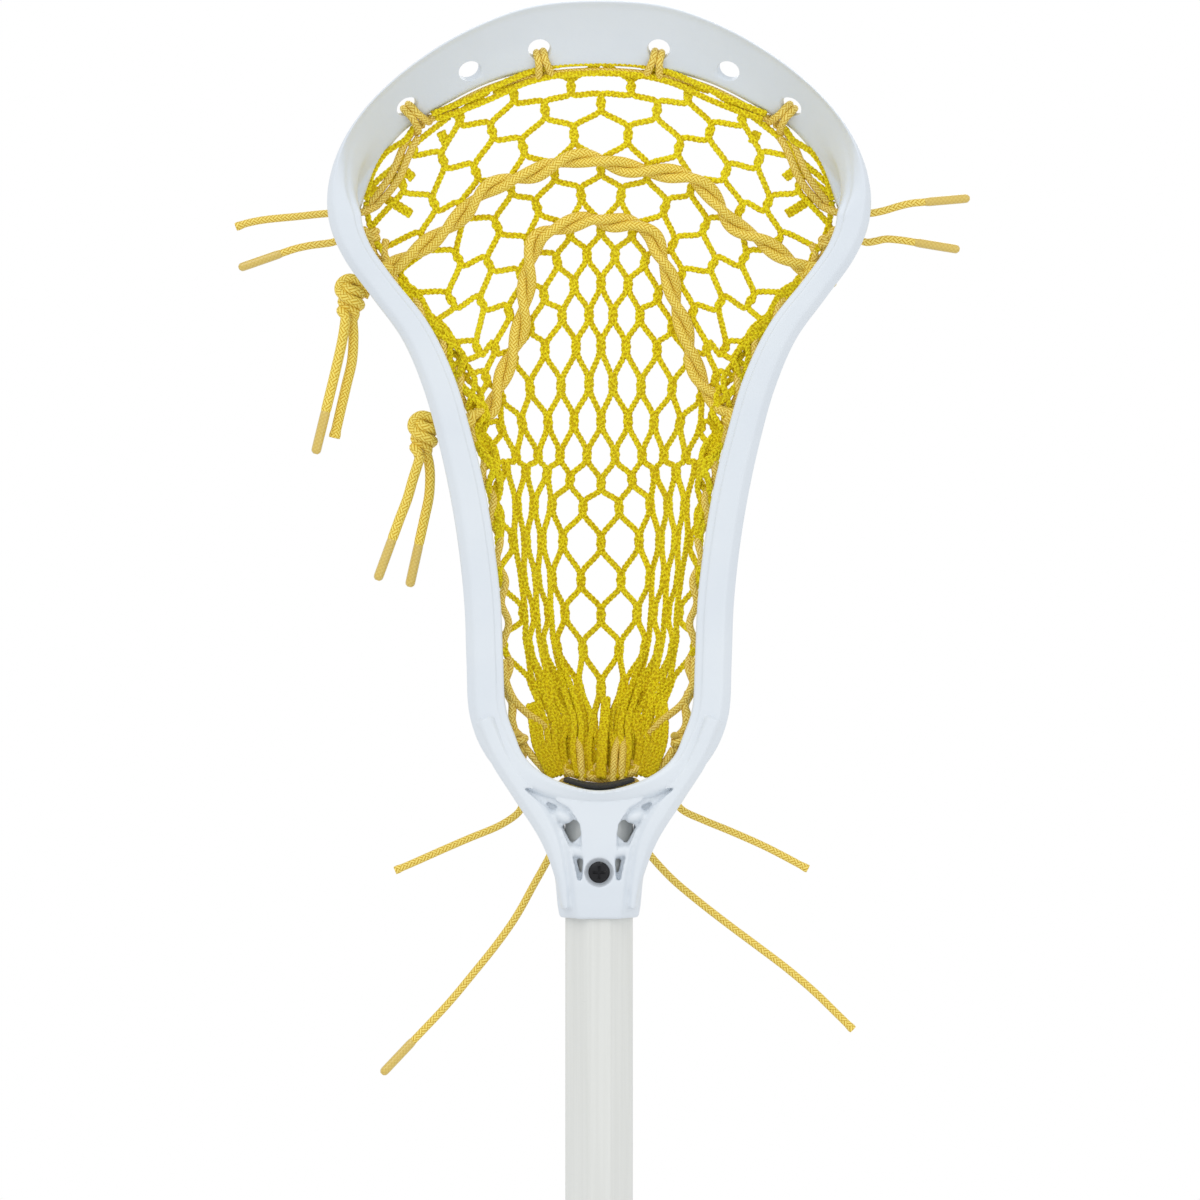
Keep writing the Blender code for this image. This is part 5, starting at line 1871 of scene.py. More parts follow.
@dataclass
class Pocket:
    """The knitted net: zigzag cords that lie together along the bars and part between them."""

    wardrobe: Wardrobe
    together: float = 0.00072
    plies: int = 3
    ply: float = 0.00112
    ply_reach: float = 0.00058
    ply_rise: float = 0.00034
    stitch: float = 0.0050
    spacing: float = 0.00054
    start_step: float = 0.37
    bar_share: float = 0.52
    open_bar: float = 0.30
    closed_spread: float = 0.5
    spread_range: float = 0.8

    def joint(self, row: int, lane: float) -> Vector:
        """Where a joint of the net lies.

        Args:
            row: The row, from the top.
            lane: The lane, counted from the middle line.

        Returns:
            The place.
        """
        offset, height = NET_JOINTS[row][int(abs(lane))]
        return RIM.on_pocket(MIDDLE_COLUMN + math.copysign(offset, lane), height)

    def lanes(self, row: int) -> list[float]:
        """The lanes that have a joint in a row."""
        return [k - 4.5 for k in range(10)] if row % 2 else [k - 4.0 for k in range(9)]

    def bar(self, joints: dict, row: int, lane: float) -> tuple[Vector, Vector]:
        """The upper and lower end of the bar at a joint.

        Args:
            joints: Every joint's place.
            row: The joint's row.
            lane: Its lane.

        Returns:
            The two ends.
        """
        centre = joints[row, lane]
        near = [
            [joints[row + way, lane + step] for step in (-0.5, 0.5) if (row + way, lane + step) in joints]
            for way in (-1, 1)
        ]
        if not all(near):
            return centre, centre
        over, under = (sum(spots, Vector()) / len(spots) for spots in near)
        along = (under - over).normalized()
        pitch = (under - over).length / 2
        spread = sum(abs(spot.x - centre.x) for spots in near for spot in spots)
        spread /= sum(len(spots) for spots in near)
        open_share = clamped((spread / pitch - self.closed_spread) / self.spread_range)
        half = (self.bar_share + self.open_bar * open_share) * pitch / 2
        return centre - half * along, centre + half * along

    def routes(self) -> list[list[Vector]]:
        """The way of every cord, from the top lace down to the ball stop.

        Returns:
            The ways.
        """
        rows = range(len(NET_JOINTS))
        joints = {(row, lane): self.joint(row, lane) for row in rows for lane in self.lanes(row)}
        bars = {key: self.bar(joints, *key) for key in joints}
        found = []
        for whole in self.lanes(0):
            for step in (-0.5, 0.5):
                route = []
                for row in rows:
                    lane = whole + step if row % 2 else whole
                    side = math.copysign(1.0, step) * (-1) ** row
                    top, foot = bars[row, lane]
                    ends = [top] if top == foot else [top, top.lerp(foot, 0.5), foot]
                    route += [spot + Vector((side * self.together, 0.0, 0.0)) for spot in ends]
                found.append(route)
        return found

    def plaited(self, route: Sequence[Vector], start: float) -> list[Strand]:
        """The plies of one cord.

        Args:
            route: The cord's way.
            start: Where its first stitch starts, in turns.

        Returns:
            The plies.
        """
        spots = walked(evenly(route, self.spacing))
        ways = []
        for ply in range(self.plies):
            way = []
            for point, travelled, side, out in spots:
                turn = TURN * (travelled / self.stitch + ply / self.plies + start)
                shift = self.ply_reach * math.sin(turn) * side
                rise = self.ply_rise * math.sin(2 * turn) * out
                way.append(point + shift + rise)
            ways.append(way)
        return [Strand(way, self.ply, sides=1) for way in ways]

    def build(self) -> None:
        """Build the net in two pieces, left and right of the middle."""
        routes = self.routes()
        half = len(routes) // 2
        for name, share in (("left", routes[:half]), ("right", routes[half:])):
            strands = []
            for k, route in enumerate(share):
                strands += self.plaited(route, self.start_step * k)
            self.keep(f"pocket_net_{name}", strands)

    def keep(self, name: str, strands: Sequence[Strand]) -> None:
        """Make and dress one piece of the net."""
        made = Piece.cords(name, strands, self.wardrobe.knit, Slot.MESH, "mesh_pocket")
        LOG.info("%s has %d faces", name, len(made.data.polygons))


# Further strands of the net, in pixels, most of them on its left: how many cords wide each is and
# its way. The right half mirrors them.
SELVEDGES = (
    (1, ((366, 200), (372, 175), (383, 156), (394, 147), (405, 140), (414, 127))),
    (
        1,
        (
            (366, 202), (369, 222), (375, 240), (386, 257), (387, 271), (399, 281), (416, 291),
            (427, 310), (434, 328),
        ),
    ),
    (
        1,
        (
            (432, 114), (452, 106), (472, 98), (492, 88), (512, 79), (530, 72), (545, 68),
            (565, 64), (585, 63), (601, 63),
        ),
    ),
    (
        1,
        (
            (436, 119), (455, 113), (476, 105), (497, 96), (518, 86), (536, 80), (555, 76),
            (575, 74), (601, 73),
        ),
    ),
)
CUT_BARS = (
    (2, ((385, 197.5), (398, 206), (411, 214))), (2, ((400, 167), (406, 172), (413, 178))),
    (2, ((441, 132), (443, 137), (446, 143))),
)
FOOT_CORDS = (
    (1, ((601, 690), (596, 706), (592, 724), (593, 752), (597, 779))),
    (1, ((557, 649), (571, 687), (581, 722), (580, 752), (584, 778))),
    (1, ((543, 649), (556, 687), (567, 722), (567, 752), (572, 776))),
    (1, ((531, 649), (541, 687), (553, 722), (555, 750), (562, 775))),
    (1, ((579, 687), (585, 705), (588, 724), (587, 752), (591, 779))),
    (1, ((563, 687), (569, 705), (574, 722), (573, 751), (578, 777))),
    (1, ((549, 687), (554, 705), (560, 722), (561, 749), (567, 776))),
    (1, ((534, 690), (540, 708), (546, 724), (549, 746), (556, 773))),
)
CUT_RIBBONS = (
    (3, ((532, 703), (535, 722), (539, 745), (547, 762), (554, 777))),
    (2, ((606, 697), (605, 715), (603, 735), (602, 755), (601, 778))),
    (3, ((660, 695), (662, 715), (661, 740), (655, 760), (648, 777))),
)


@dataclass
class NetEdges:
    """The net's drawn-together edges: the bunch on each rail, the selvedge, cut bars and the foot."""

    pocket: Pocket
    cord_step: float = 3.8
    selvedge_standoff: float = 0.0012
    bar_standoff: float = -0.0010
    foot_standoffs: tuple = (-0.0018, 0.0022)
    cut_standoff: float = 0.0026
    high: float = 0.2120
    low: float = 0.1200
    steps: int = 40
    windings: float = 3.5
    bulk: float = 0.0056
    clear: float = 0.0027
    strands: int = 5
    more_windings: float = 0.4
    flatness: float = 0.35
    fullness: float = 0.8
    start_step: float = 0.29

    def ribbon(self, cords: int, way: Sequence[tuple], standoff: float) -> list[list[Vector]]:
        """Cords side by side along one way.

        Args:
            cords: How many.
            way: Their middle line in pixels.
            standoff: How far in front of the pocket they lie.

        Returns:
            Their routes.
        """
        along = (Vector(way[-1]) - Vector(way[0])).normalized()
        across = Vector((along.y, -along.x))
        routes = []
        for k in range(cords):
            shift = (k - (cords - 1) / 2) * self.cord_step * across
            routes.append([RIM.on_pocket(*(Vector(spot) + shift), standoff) for spot in way])
        return routes

    def bunch(self) -> list[list[Vector]]:
        """The strands that wind down the left rail, where the net's edge is drawn together.

        Returns:
            Their routes.
        """
        routes = []
        for strand in range(self.strands):
            route = []
            windings = (self.windings + self.more_windings * strand) * (-1) ** strand
            for k in range(self.steps + 1):
                share = k / self.steps
                bulk = self.bulk * math.sin(math.pi * share) ** self.fullness
                turn = TURN * (strand / self.strands + windings * share)
                clear = self.clear + bulk * (0.5 + 0.5 * math.sin(turn))
                spot = RIM.seam(self.high + (self.low - self.high) * share, clear)
                depth = spot.y + self.flatness * bulk * math.cos(turn)
                route.append(Vector((-spot.x, depth, spot.z)))
            routes.append(route)
        return routes

    def build(self) -> None:
        """Build the edges, left and right, and the foot."""
        left = self.bunch()
        for ribbons, standoff in ((SELVEDGES, self.selvedge_standoff), (CUT_BARS, self.bar_standoff)):
            left += [route for spec in ribbons for route in self.ribbon(*spec, standoff)]
        foot = []
        for k, (cords, way) in enumerate(FOOT_CORDS):
            across = [(2 * MIDDLE_COLUMN - column, row) for column, row in way]
            standoff = self.foot_standoffs[k % 2]
            foot += self.ribbon(cords, way, standoff) + self.ribbon(cords, across, standoff)
        foot += [route for spec in CUT_RIBBONS for route in self.ribbon(*spec, self.cut_standoff)]
        right = [reflected(route) for route in left]
        self.keep("pocket_edge_left", left)
        self.keep("pocket_edge_right", right)
        self.keep("pocket_foot", foot)

    def keep(self, name: str, routes: Sequence[Sequence[Vector]]) -> None:
        """Make and dress one piece of plaited cords.

        Args:
            name: Its name.
            routes: Its cords.
        """
        strands = []
        for k, route in enumerate(routes):
            strands += self.pocket.plaited(route, self.start_step * k)
        self.pocket.keep(name, strands)


@dataclass
class Laces:
    """The top string, the sidewall strings and the bottom string."""

    wardrobe: Wardrobe
    seat: float = 0.00165
    spacing: float = 0.0007
    wind_pitch: float = 0.0140
    wind_reach: float = 0.0010
    loop_reach: float = 0.0042
    second_clear: float = 0.0045
    bow: float = 0.0034
    top_exit: float = 0.2320
    top_margin: float = 0.25
    side_exit: float = 0.2230
    side_top: float = 0.2190
    side_turn: float = 0.0560
    held_inset: float = 0.0002
    side_foot: tuple = ((0.0254, 0.0165, 0.0435),)
    bottom_foot: tuple = ((0.0118, 0.0163, 0.0365), (0.0130, 0.0163, 0.0300), (0.0144, 0.0163, 0.0240))
    run_step: float = 0.2
    wind_steps: int = 12
    lump_reach: float = 0.0017
    lump_rise: float = 0.0042
    lump_steps: int = 14
    lump_standoff: float = 0.001

    def run(self, start: float, end: float, clear: float, bow: float = 0.0) -> list[Vector]:
        """The laces' line along the hoop.

        Args:
            start: The first position in stations.
            end: The last.
            clear: How far it runs from the hoop's inner edge.
            bow: How much further away it is halfway.

        Returns:
            The points.
        """
        count = max(round(abs(end - start) / self.run_step), 2)
        shares = [k / count for k in range(count + 1)]
        return [
            RIM.lace_line(start + (end - start) * share, clear + bow * math.sin(math.pi * share))
            for share in shares
        ]

    def out_through(self, height: float) -> list[Vector]:
        """The way out through a hole of the back rail.

        Args:
            height: The hole's height.

        Returns:
            The points.
        """
        face = RIM.rail_face(height)
        inwards = (face + self.seat, face - self.seat, self.held_inset)
        return [RIM.hole(height, inward)[0] for inward in inwards]

    def loop(self, distance: float, hole_radius: float, share: float) -> list[Vector]:
        """The lace's loop from the band's edge up its front, through a scoop hole and back.

        Args:
            distance: The hole's distance from the crown.
            hole_radius: Its radius.
            share: How far across the band it lies.

        Returns:
            The points, in the hoop's own direction.
        """
        hole = ScoopHole.at(distance, share)
        out = hole.normal if hole.normal.y < 0 else -hole.normal
        half, seat = RIM.band / 2, self.seat
        near, far = hole_radius, hole.to_edge
        middle = (near + far) / 2
        turn = (
            (-0.0036, far + 1.0 * seat, 0.2 * half),
            (-0.0024, far + 0.5 * seat, half + 0.6 * seat),
            (-0.0016, middle, half + seat),
            (-0.0011, near - 0.2 * seat, half + 0.7 * seat),
            (-0.0012, near - 0.9 * seat, 0.0),
            (-0.0010, near, -half - 0.8 * seat),
            (-0.0010, far, -half - 0.9 * seat),
            (-0.0006, far + 1.6 * seat, -0.4 * half),
        )
        back = [(-along, across, outward) for along, across, outward in reversed(turn)]
        return [
            hole.centre + along * hole.along + across * hole.across + outward * out
            for along, across, outward in (*turn, *back)
        ]

    def top_route(self, head: Head) -> tuple[list[Vector], list[Vector]]:
        """The right half of the top string from the crown out, and its doubled end.

        Args:
            head: The head, whose scoop holes it passes.

        Returns:
            The two routes.
        """
        laced = (head.scoop_holes[0], head.scoop_holes[2])
        route = self.run(0.0, RIM.scoop_at(laced[0] - self.loop_reach), self.seat)
        route += self.loop(laced[0], head.scoop_hole / 2, head.hole_shares[0])
        start = RIM.scoop_at(laced[0] + self.loop_reach)
        route += self.run(start, RIM.scoop_at(laced[1] - self.loop_reach), self.seat)
        route += self.loop(laced[1], head.scoop_hole / 2, head.hole_shares[2])
        start = RIM.scoop_at(laced[1] + self.loop_reach)
        end = RIM.rail_at(self.top_exit) - self.top_margin
        out = self.out_through(self.top_exit)
        second = [*self.run(start, end, self.second_clear, self.bow), *out]
        return [*route, *self.run(start, end, self.seat, self.bow), *out], second

    def wound(self, high: float, low: float, start: float) -> list[Vector]:
        """A lace wound round the seam between two heights.

        Args:
            high: The upper height.
            low: The lower height.
            start: Where the winding starts, in turns.

        Returns:
            The points.
        """
        first, last = (RIM.seam_at(height, self.seat) for height in (high, low))
        count = round((last - first) * self.wind_steps)
        points = []
        travelled = 0.0
        before = RIM.lace_line(first, self.seat)
        for k in range(count + 1):
            at = first + (last - first) * k / count
            spot = RIM.lace_line(at, self.seat)
            travelled += (spot - before).length
            before = spot
            turn = TURN * (travelled / self.wind_pitch + start)
            clear = self.seat + self.wind_reach * (1.0 - math.cos(turn))
            points.append(RIM.lace_line(at, clear) + Vector((0.0, self.wind_reach * math.sin(turn), 0.0)))
        return points

    def over_the_back(self, position: float, step: float) -> list[Vector]:
        """Four points that take a lace over the hoop's back edge.

        Args:
            position: Where they start.
            step: How far each moves along.

        Returns:
            The points.
        """
        seat, inset = self.seat, RIM.lace_inset
        ways = (
            (seat, 0.0), (0.75 * seat, inset + 0.75 * seat), (-0.6 * seat, inset + seat),
            (-2.0 * seat, inset + seat),
        )
        return [
            RIM.lace_line(position + k * step, clear) + Vector((0.0, behind, 0.0))
            for k, (clear, behind) in enumerate(ways)
        ]

    def side_route(self) -> list[Vector]:
        """The right sidewall string, from its hole down to the throat's back.

        Returns:
            The points.
        """
        turn = RIM.seam_at(self.side_turn, self.seat)
        return [
            *reversed(self.out_through(self.side_exit)),
            *self.wound(self.side_top, self.side_turn, 0.0),
            *self.over_the_back(turn + 0.25, 0.12),
            *[above_collar(*spot) for spot in self.side_foot],
        ]

    def bottom_route(self) -> list[Vector]:
        """The right half of the bottom string.

        Returns:
            The points.
        """
        line = [RIM.lace_line(RIM.end - 0.17 * k, self.seat) for k in range(4)]
        return [
            *line,
            *self.over_the_back(RIM.end - 0.68, -0.10),
            *[above_collar(*spot) for spot in self.bottom_foot],
        ]

    def lump(self, column: float, row: float, turns: float) -> list[Vector]:
        """A small knot of lace seen at a pixel.

        Args:
            column: Pixels from the left.
            row: Pixels from the top.
            turns: Its turns.

        Returns:
            The points.
        """
        centre = RIM.on_pocket(column, row, self.lump_standoff)
        count = round(self.lump_steps * turns)
        reach = self.lump_reach
        points = []
        for k in range(count + 1):
            angle = TURN * turns * k / count
            rise = self.lump_rise * (k / count - 0.5)
            points.append(centre + Vector((reach * math.cos(angle), reach * math.sin(angle), rise)))
        return points

    def seen(self, route: Sequence[tuple[float, float, float]]) -> list[Vector]:
        """The places of a route given in pixels and standoff from the pocket."""
        return [RIM.on_pocket(*spot) for spot in route]

    def build(self, head: Head) -> None:
        """Build the strings.

        Args:
            head: The head that they are laced to.
        """
        half, second = self.top_route(head)
        self.keep("top_string", [whole_line(half), second, reflected(second)])
        side = self.side_route()
        for name, sign in (("left", -1), ("right", 1)):
            route = [mirrored(point, sign) for point in side]
            self.keep(f"sidewall_string_{name}", [route, *self.side_pieces(sign)])
        gathers = [self.seen(route) for route in GATHER_ROUTES]
        self.keep("bottom_string", [whole_line(self.bottom_route()), *gathers])

    def side_pieces(self, sign: int) -> list[list[Vector]]:
        """The sidewall string's knots and low turns on one side.

        Args:
            sign: Minus one for left, one for right.

        Returns:
            Their routes.
        """
        lumps, routes = (LEFT_LUMPS, LEFT_LACE_ROUTES) if sign < 0 else (RIGHT_LUMPS, RIGHT_LACE_ROUTES)
        return [*[self.lump(*spot) for spot in lumps], *[self.seen(route) for route in routes]]

    def keep(self, name: str, routes: Sequence[Sequence[Vector]]) -> None:
        """Make and dress one string.

        Args:
            name: The node that it stands for.
            routes: Its strands.
        """
        strands = [Strand(evenly(route, self.spacing, 6), LACE_DIAMETER, sides=3) for route in routes]
        Piece.cords(f"{name}_lace", strands, self.wardrobe.lace, Slot.LACE, name)


# Small knots of lace on the rails: pixels from the left and the top, and turns
LEFT_LUMPS = ((371.5, 236.5, 2.2), (520.0, 740.0, 1.6))
RIGHT_LUMPS = ((826.5, 242.0, 2.2), (679.0, 741.5, 1.6))
# Turns of lace low in the pocket: pixels from the left and the top, and metres before the pocket
LEFT_LACE_ROUTES = (
    (
        (499, 661, 0.001), (504, 667, 0.002), (505, 676, 0.002), (508, 687, 0.002),
        (515, 701, 0.002), (528, 714, 0.003), (538, 721, 0.003), (547, 729, 0.001),
        (554, 736, -0.004),
    ),
    ((509, 690, 0.000), (512, 704, 0.001), (512, 718, 0.001), (509, 733, 0.000)),
    ((526, 748, 0.000), (533, 757, 0.001), (540, 765, 0.001), (547, 773, 0.000)),
    ((386, 240, 0.000), (384, 250, 0.001), (386, 261, 0.001), (380, 272, 0.000)),
)
RIGHT_LACE_ROUTES = (
    (
        (698, 659, 0.001), (694, 666, 0.002), (694, 678, 0.002), (690, 690, 0.002),
        (681, 705, 0.002), (664, 719, 0.003), (656, 727, 0.003), (649, 735, 0.001),
        (643, 741, -0.004),
    ),
    ((688, 692, 0.000), (685, 705, 0.001), (688, 717, 0.001), (690, 730, 0.000)),
    ((673, 749, 0.000), (667, 759, 0.001), (660, 767, 0.001), (652, 774, 0.000)),
    ((812, 245, 0.000), (815, 254, 0.001), (812, 264, 0.001), (818, 275, 0.000)),
)
GATHER_ROUTES = (
    ((577, 733, -0.004), (578, 742, 0.001), (580, 752, 0.003), (581, 766, 0.003), (582, 783, 0.002)),
    ((622, 733, -0.004), (618, 742, 0.001), (615, 752, 0.003), (614, 766, 0.003), (613, 783, 0.002)),
    ((625, 733, -0.004), (624, 742, 0.001), (623, 752, 0.003), (622, 766, 0.003), (622, 783, 0.002)),
    (
        (548, 757, -0.001), (560, 769, -0.001), (573, 762, -0.001), (586, 775, -0.001),
        (600, 765, -0.001), (613, 775, -0.001), (627, 762, -0.001), (640, 769, -0.001),
        (652, 756, -0.001),
    ),
    (
        (550, 766, 0.000), (566, 772, 0.000), (584, 777, 0.000), (601, 779, 0.000),
        (619, 777, 0.000), (636, 771, 0.000), (651, 764, 0.000),
    ),
)


# The shooting strings' lines across the pocket, in the picture's pixels
UPPER_LINE = (
    (381, 271), (402, 260), (427, 244), (448, 228), (465, 212), (486, 190), (511, 180), (533, 174),
    (550, 166), (572, 159), (594, 159), (628, 168), (656, 172), (687, 176), (704, 187), (718, 203),
    (733, 224), (762, 241), (790, 261), (815, 272),
)
LOWER_LINE = (
    (470, 417), (489, 410), (497, 390), (509, 361), (521, 326), (526, 290), (530, 262), (538, 238),
    (559, 228), (588, 219), (609, 223), (632, 223), (652, 235), (660, 254), (669, 275), (675, 301),
    (685, 331), (693, 361), (704, 388), (718, 403), (732, 415),
)


@dataclass
class ShootingStrings:
    """Two pairs of braided strands laid across the pocket, each knotted outside the left rail."""

    wardrobe: Wardrobe
    strand: float = 0.0033
    standoff: float = 0.0022
    across: float = 0.00160
    through: float = 0.00160
    twist: float = 0.0300
    spacing: float = 0.0007
    exits: tuple = (0.2082, 0.1611)
    outer_inset: float = 0.0004
    inner_margin: float = 0.00168
    untwisting: float = 0.010
    end_share: float = 0.45

    def centre_line(self, line: Sequence[tuple[float, float]], exit_height: float) -> list[Vector]:
        """The pair's centre line from the left hole to the right one.

        Args:
            line: Its way over the pocket, in pixels.
            exit_height: The height of its holes.

        Returns:
            The points.
        """
        face = RIM.rail_face(exit_height)
        inwards = (self.outer_inset, face / 2, face + self.inner_margin)
        right = [RIM.hole(exit_height, inward, shooter=True)[0] for inward in inwards]
        across = [RIM.on_pocket(*spot, self.standoff) for spot in line]
        return [*reflected(right), *across, *reversed(right)]

    def twisted(self, centre: Sequence[Vector], start: float) -> list[list[Vector]]:
        """The two strands of a pair that wind round its centre line.

        Args:
            centre: The centre line.
            start: Where the twist starts, in turns.

        Returns:
            Their points.
        """
        points = evenly(centre, self.spacing, 8)
        total = length_of(points)
        ways: list[list[Vector]] = [[], []]
        for point, travelled, side, out in walked(points):
            ease = min(travelled, total - travelled, self.untwisting) / self.untwisting
            turn = TURN * (travelled / self.twist + start)
            shift = (self.across * math.cos(turn)) * side
            opened = self.end_share + (1.0 - self.end_share) * ease
            rise = (opened * self.through * math.sin(turn)) * out
            for way, sign in zip(ways, (1, -1)):
                way.append(point + sign * (shift + rise))
        return ways

    def build(self) -> None:
        """Build both pairs and their knots."""
        lines = (("upper", UPPER_LINE, 0.05), ("lower", LOWER_LINE, 0.30))
        for (name, line, start), exit_height in zip(lines, self.exits):
            ways = self.twisted(self.centre_line(line, exit_height), start)
            strands = [Strand(way, self.strand, sides=4) for way in ways]
            piece, node = f"shooting_pair_{name}", f"shooting_string_{name}"
            Piece.cords(piece, strands, self.wardrobe.shooter, Slot.LACE, node)
            Knot(self.wardrobe, f"{name}_shooter_knot").build()


# The two strands of an overhand knot, in millimetres from its middle: right, back and up
KNOT_STRANDS = (
    (
        (6.4, -0.2, 2.0), (4.4, -0.6, 3.8), (2.0, -0.9, 5.2), (-0.6, -1.0, 5.7), (-2.9, -1.0, 4.2),
        (-3.4, -1.4, 1.7), (-1.6, -2.9, -0.5), (1.3, -3.0, -1.8), (3.2, -1.0, -2.6),
        (2.8, 1.6, -3.3), (0.0, 2.6, -4.0), (-2.5, 1.3, -4.4), (-2.8, -0.9, -5.1),
        (-1.8, -1.7, -6.3), (-1.3, -1.9, -7.7),
    ),
    (
        (6.4, 1.4, 0.6), (4.2, 1.2, 1.6), (2.0, 0.8, 3.0), (0.2, 0.0, 3.6), (-1.0, -1.7, 2.8),
        (0.6, -2.9, 1.8), (2.9, -2.0, 1.3), (3.3, 0.6, 0.5), (1.4, 2.5, -0.3), (-1.6, 2.4, -0.8),
        (-2.6, 0.6, -2.0), (-0.6, -0.4, -3.5), (1.4, 0.2, -5.0), (1.3, 1.3, -6.3), (0.7, 1.9, -7.7),
    ),
)


@dataclass
class Knot:
    """An overhand knot of a shooting string's two strands."""

    wardrobe: Wardrobe
    node: str
    shift: tuple = (-0.0003, 0.0, -0.0005)
    strand: float = 0.0034
    spacing: float = 0.0006

    def build(self) -> None:
        """Build the knot in its solid's place."""
        low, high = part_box(self.node)
        centre = (Vector(low) + Vector(high)) / 2 + Vector(self.shift)
        strands = []
        for route in KNOT_STRANDS:
            points = [centre + MILLIMETRE * Vector(spot) for spot in route]
            strands.append(Strand(evenly(points, self.spacing, 8), self.strand, sides=4))
        name = f"{self.node}_turns"
        Piece.cords(name, strands, self.wardrobe.shooter, Slot.LACE, self.node)


@dataclass
class Pad:
    """The foam strip glued in the bottom of the hoop."""

    wardrobe: Wardrobe
    thickness: float = 0.0013
    half_width: float = 0.0118
    depth: float = 0.0180
    fit: float = 0.0001
    sections: int = 40
    corner: float = 0.0007
    fill: float = 0.9
    first_station: float = 18.0
    end_power: int = 14
    end_least: float = 0.04
    end_narrowing: float = 0.07

    def build(self) -> None:
        """Build the strip."""
        rings = []
        for k in range(self.sections + 1):
            share = 2 * k / self.sections - 1
            half = self.half_width * share
            at = RIM.falling(
                lambda place: RIM.point(place, RIM.at(place).width + self.fit, 0.0).x,
                abs(half),
                self.first_station,
                RIM.end,
            )
            width = RIM.at(at).width + self.fit
            ease = math.sqrt(max(1.0 - abs(share) ** self.end_power, self.end_least))
            reach = self.depth / 2 * (1.0 - self.end_narrowing + self.end_narrowing * ease)
            corners = []
            for inward, depth in ((0.0, -1), (0.0, 1), (1.0, 1), (1.0, -1)):
                spot = RIM.point(at, width + inward * ease * self.thickness, depth * reach)
                corners.append(mirrored(spot, -1 if half < 0 else 1))
            rings.append(Shaper.rounded(corners, self.corner, 5))
        name = "ball_stop_foam"
        data = Piece.smooth_mesh(name, Shaper.skin(rings))
        made = Piece.keep(name, data, self.wardrobe.foam, Slot.FOAM, ["ball_stop_pad"])


@dataclass
class Screw:
    """The pan-head screw that holds the head on the shaft."""

    wardrobe: Wardrobe
    head: float = 0.0070
    thickness: float = 0.0016
    shank: float = 0.0034
    slot_length: float = 0.0042
    slot_width: float = 0.0009
    slot_depth: float = 0.0011
    dome_steps: int = 8
    dome_shares: tuple = (0.45, 0.55)
    under_edge: float = 0.0003
    tip_edge: float = 0.0005

    def build(self) -> None:
        """Build the screw, with a cross cut in its domed head."""
        radius, core = self.head / 2, self.shank / 2
        end = self.thickness - (SCREW_HIGH.y - SCREW_LOW.y)
        dome = []
        edge, bulge = self.dome_shares
        for k in range(self.dome_steps + 1):
            angle = math.pi / 2 * k / self.dome_steps
            rise = edge + bulge * math.cos(angle)
            dome.append((radius * math.sin(angle), self.thickness * rise))
        under = [(radius, self.under_edge), (radius - self.under_edge, 0.0), (core, 0.0)]
        tip = [(core, end + self.tip_edge), (core - self.tip_edge, end), (0.0, end)]
        solid = Shaper.turned([*dome, *under, *tip], 48)
        arms = []
        for angle in (0.0, math.pi / 2):
            arm = Shaper.box((self.slot_length, self.slot_width, 2 * self.slot_depth))
            turn = Matrix.Rotation(angle, 4, "Z")
            matrix = Matrix.Translation((0.0, 0.0, self.thickness)) @ turn
            bmesh.ops.transform(arm, verts=arm.verts, matrix=matrix)
            arms.append([arm])
        shape = Shaper.opened(Shaper.carved(Shaper.together([solid]), arms))
        height = (SCREW_LOW.z + SCREW_HIGH.z) / 2
        Shaper.placed(shape, FRONT, Vector((0.0, SCREW_LOW.y + self.thickness, height)))
        data = Piece.smooth_mesh("head_screw_pan", shape)
        Piece.keep("head_screw_pan", data, self.wardrobe.steel, Slot.STEEL, ["head_screw"])


class Tail(NamedTuple):
    """A free end of a lace: its thickness, whether it ends in a tip, and its route."""

    name: str
    diameter: float
    tipped: bool
    route: tuple


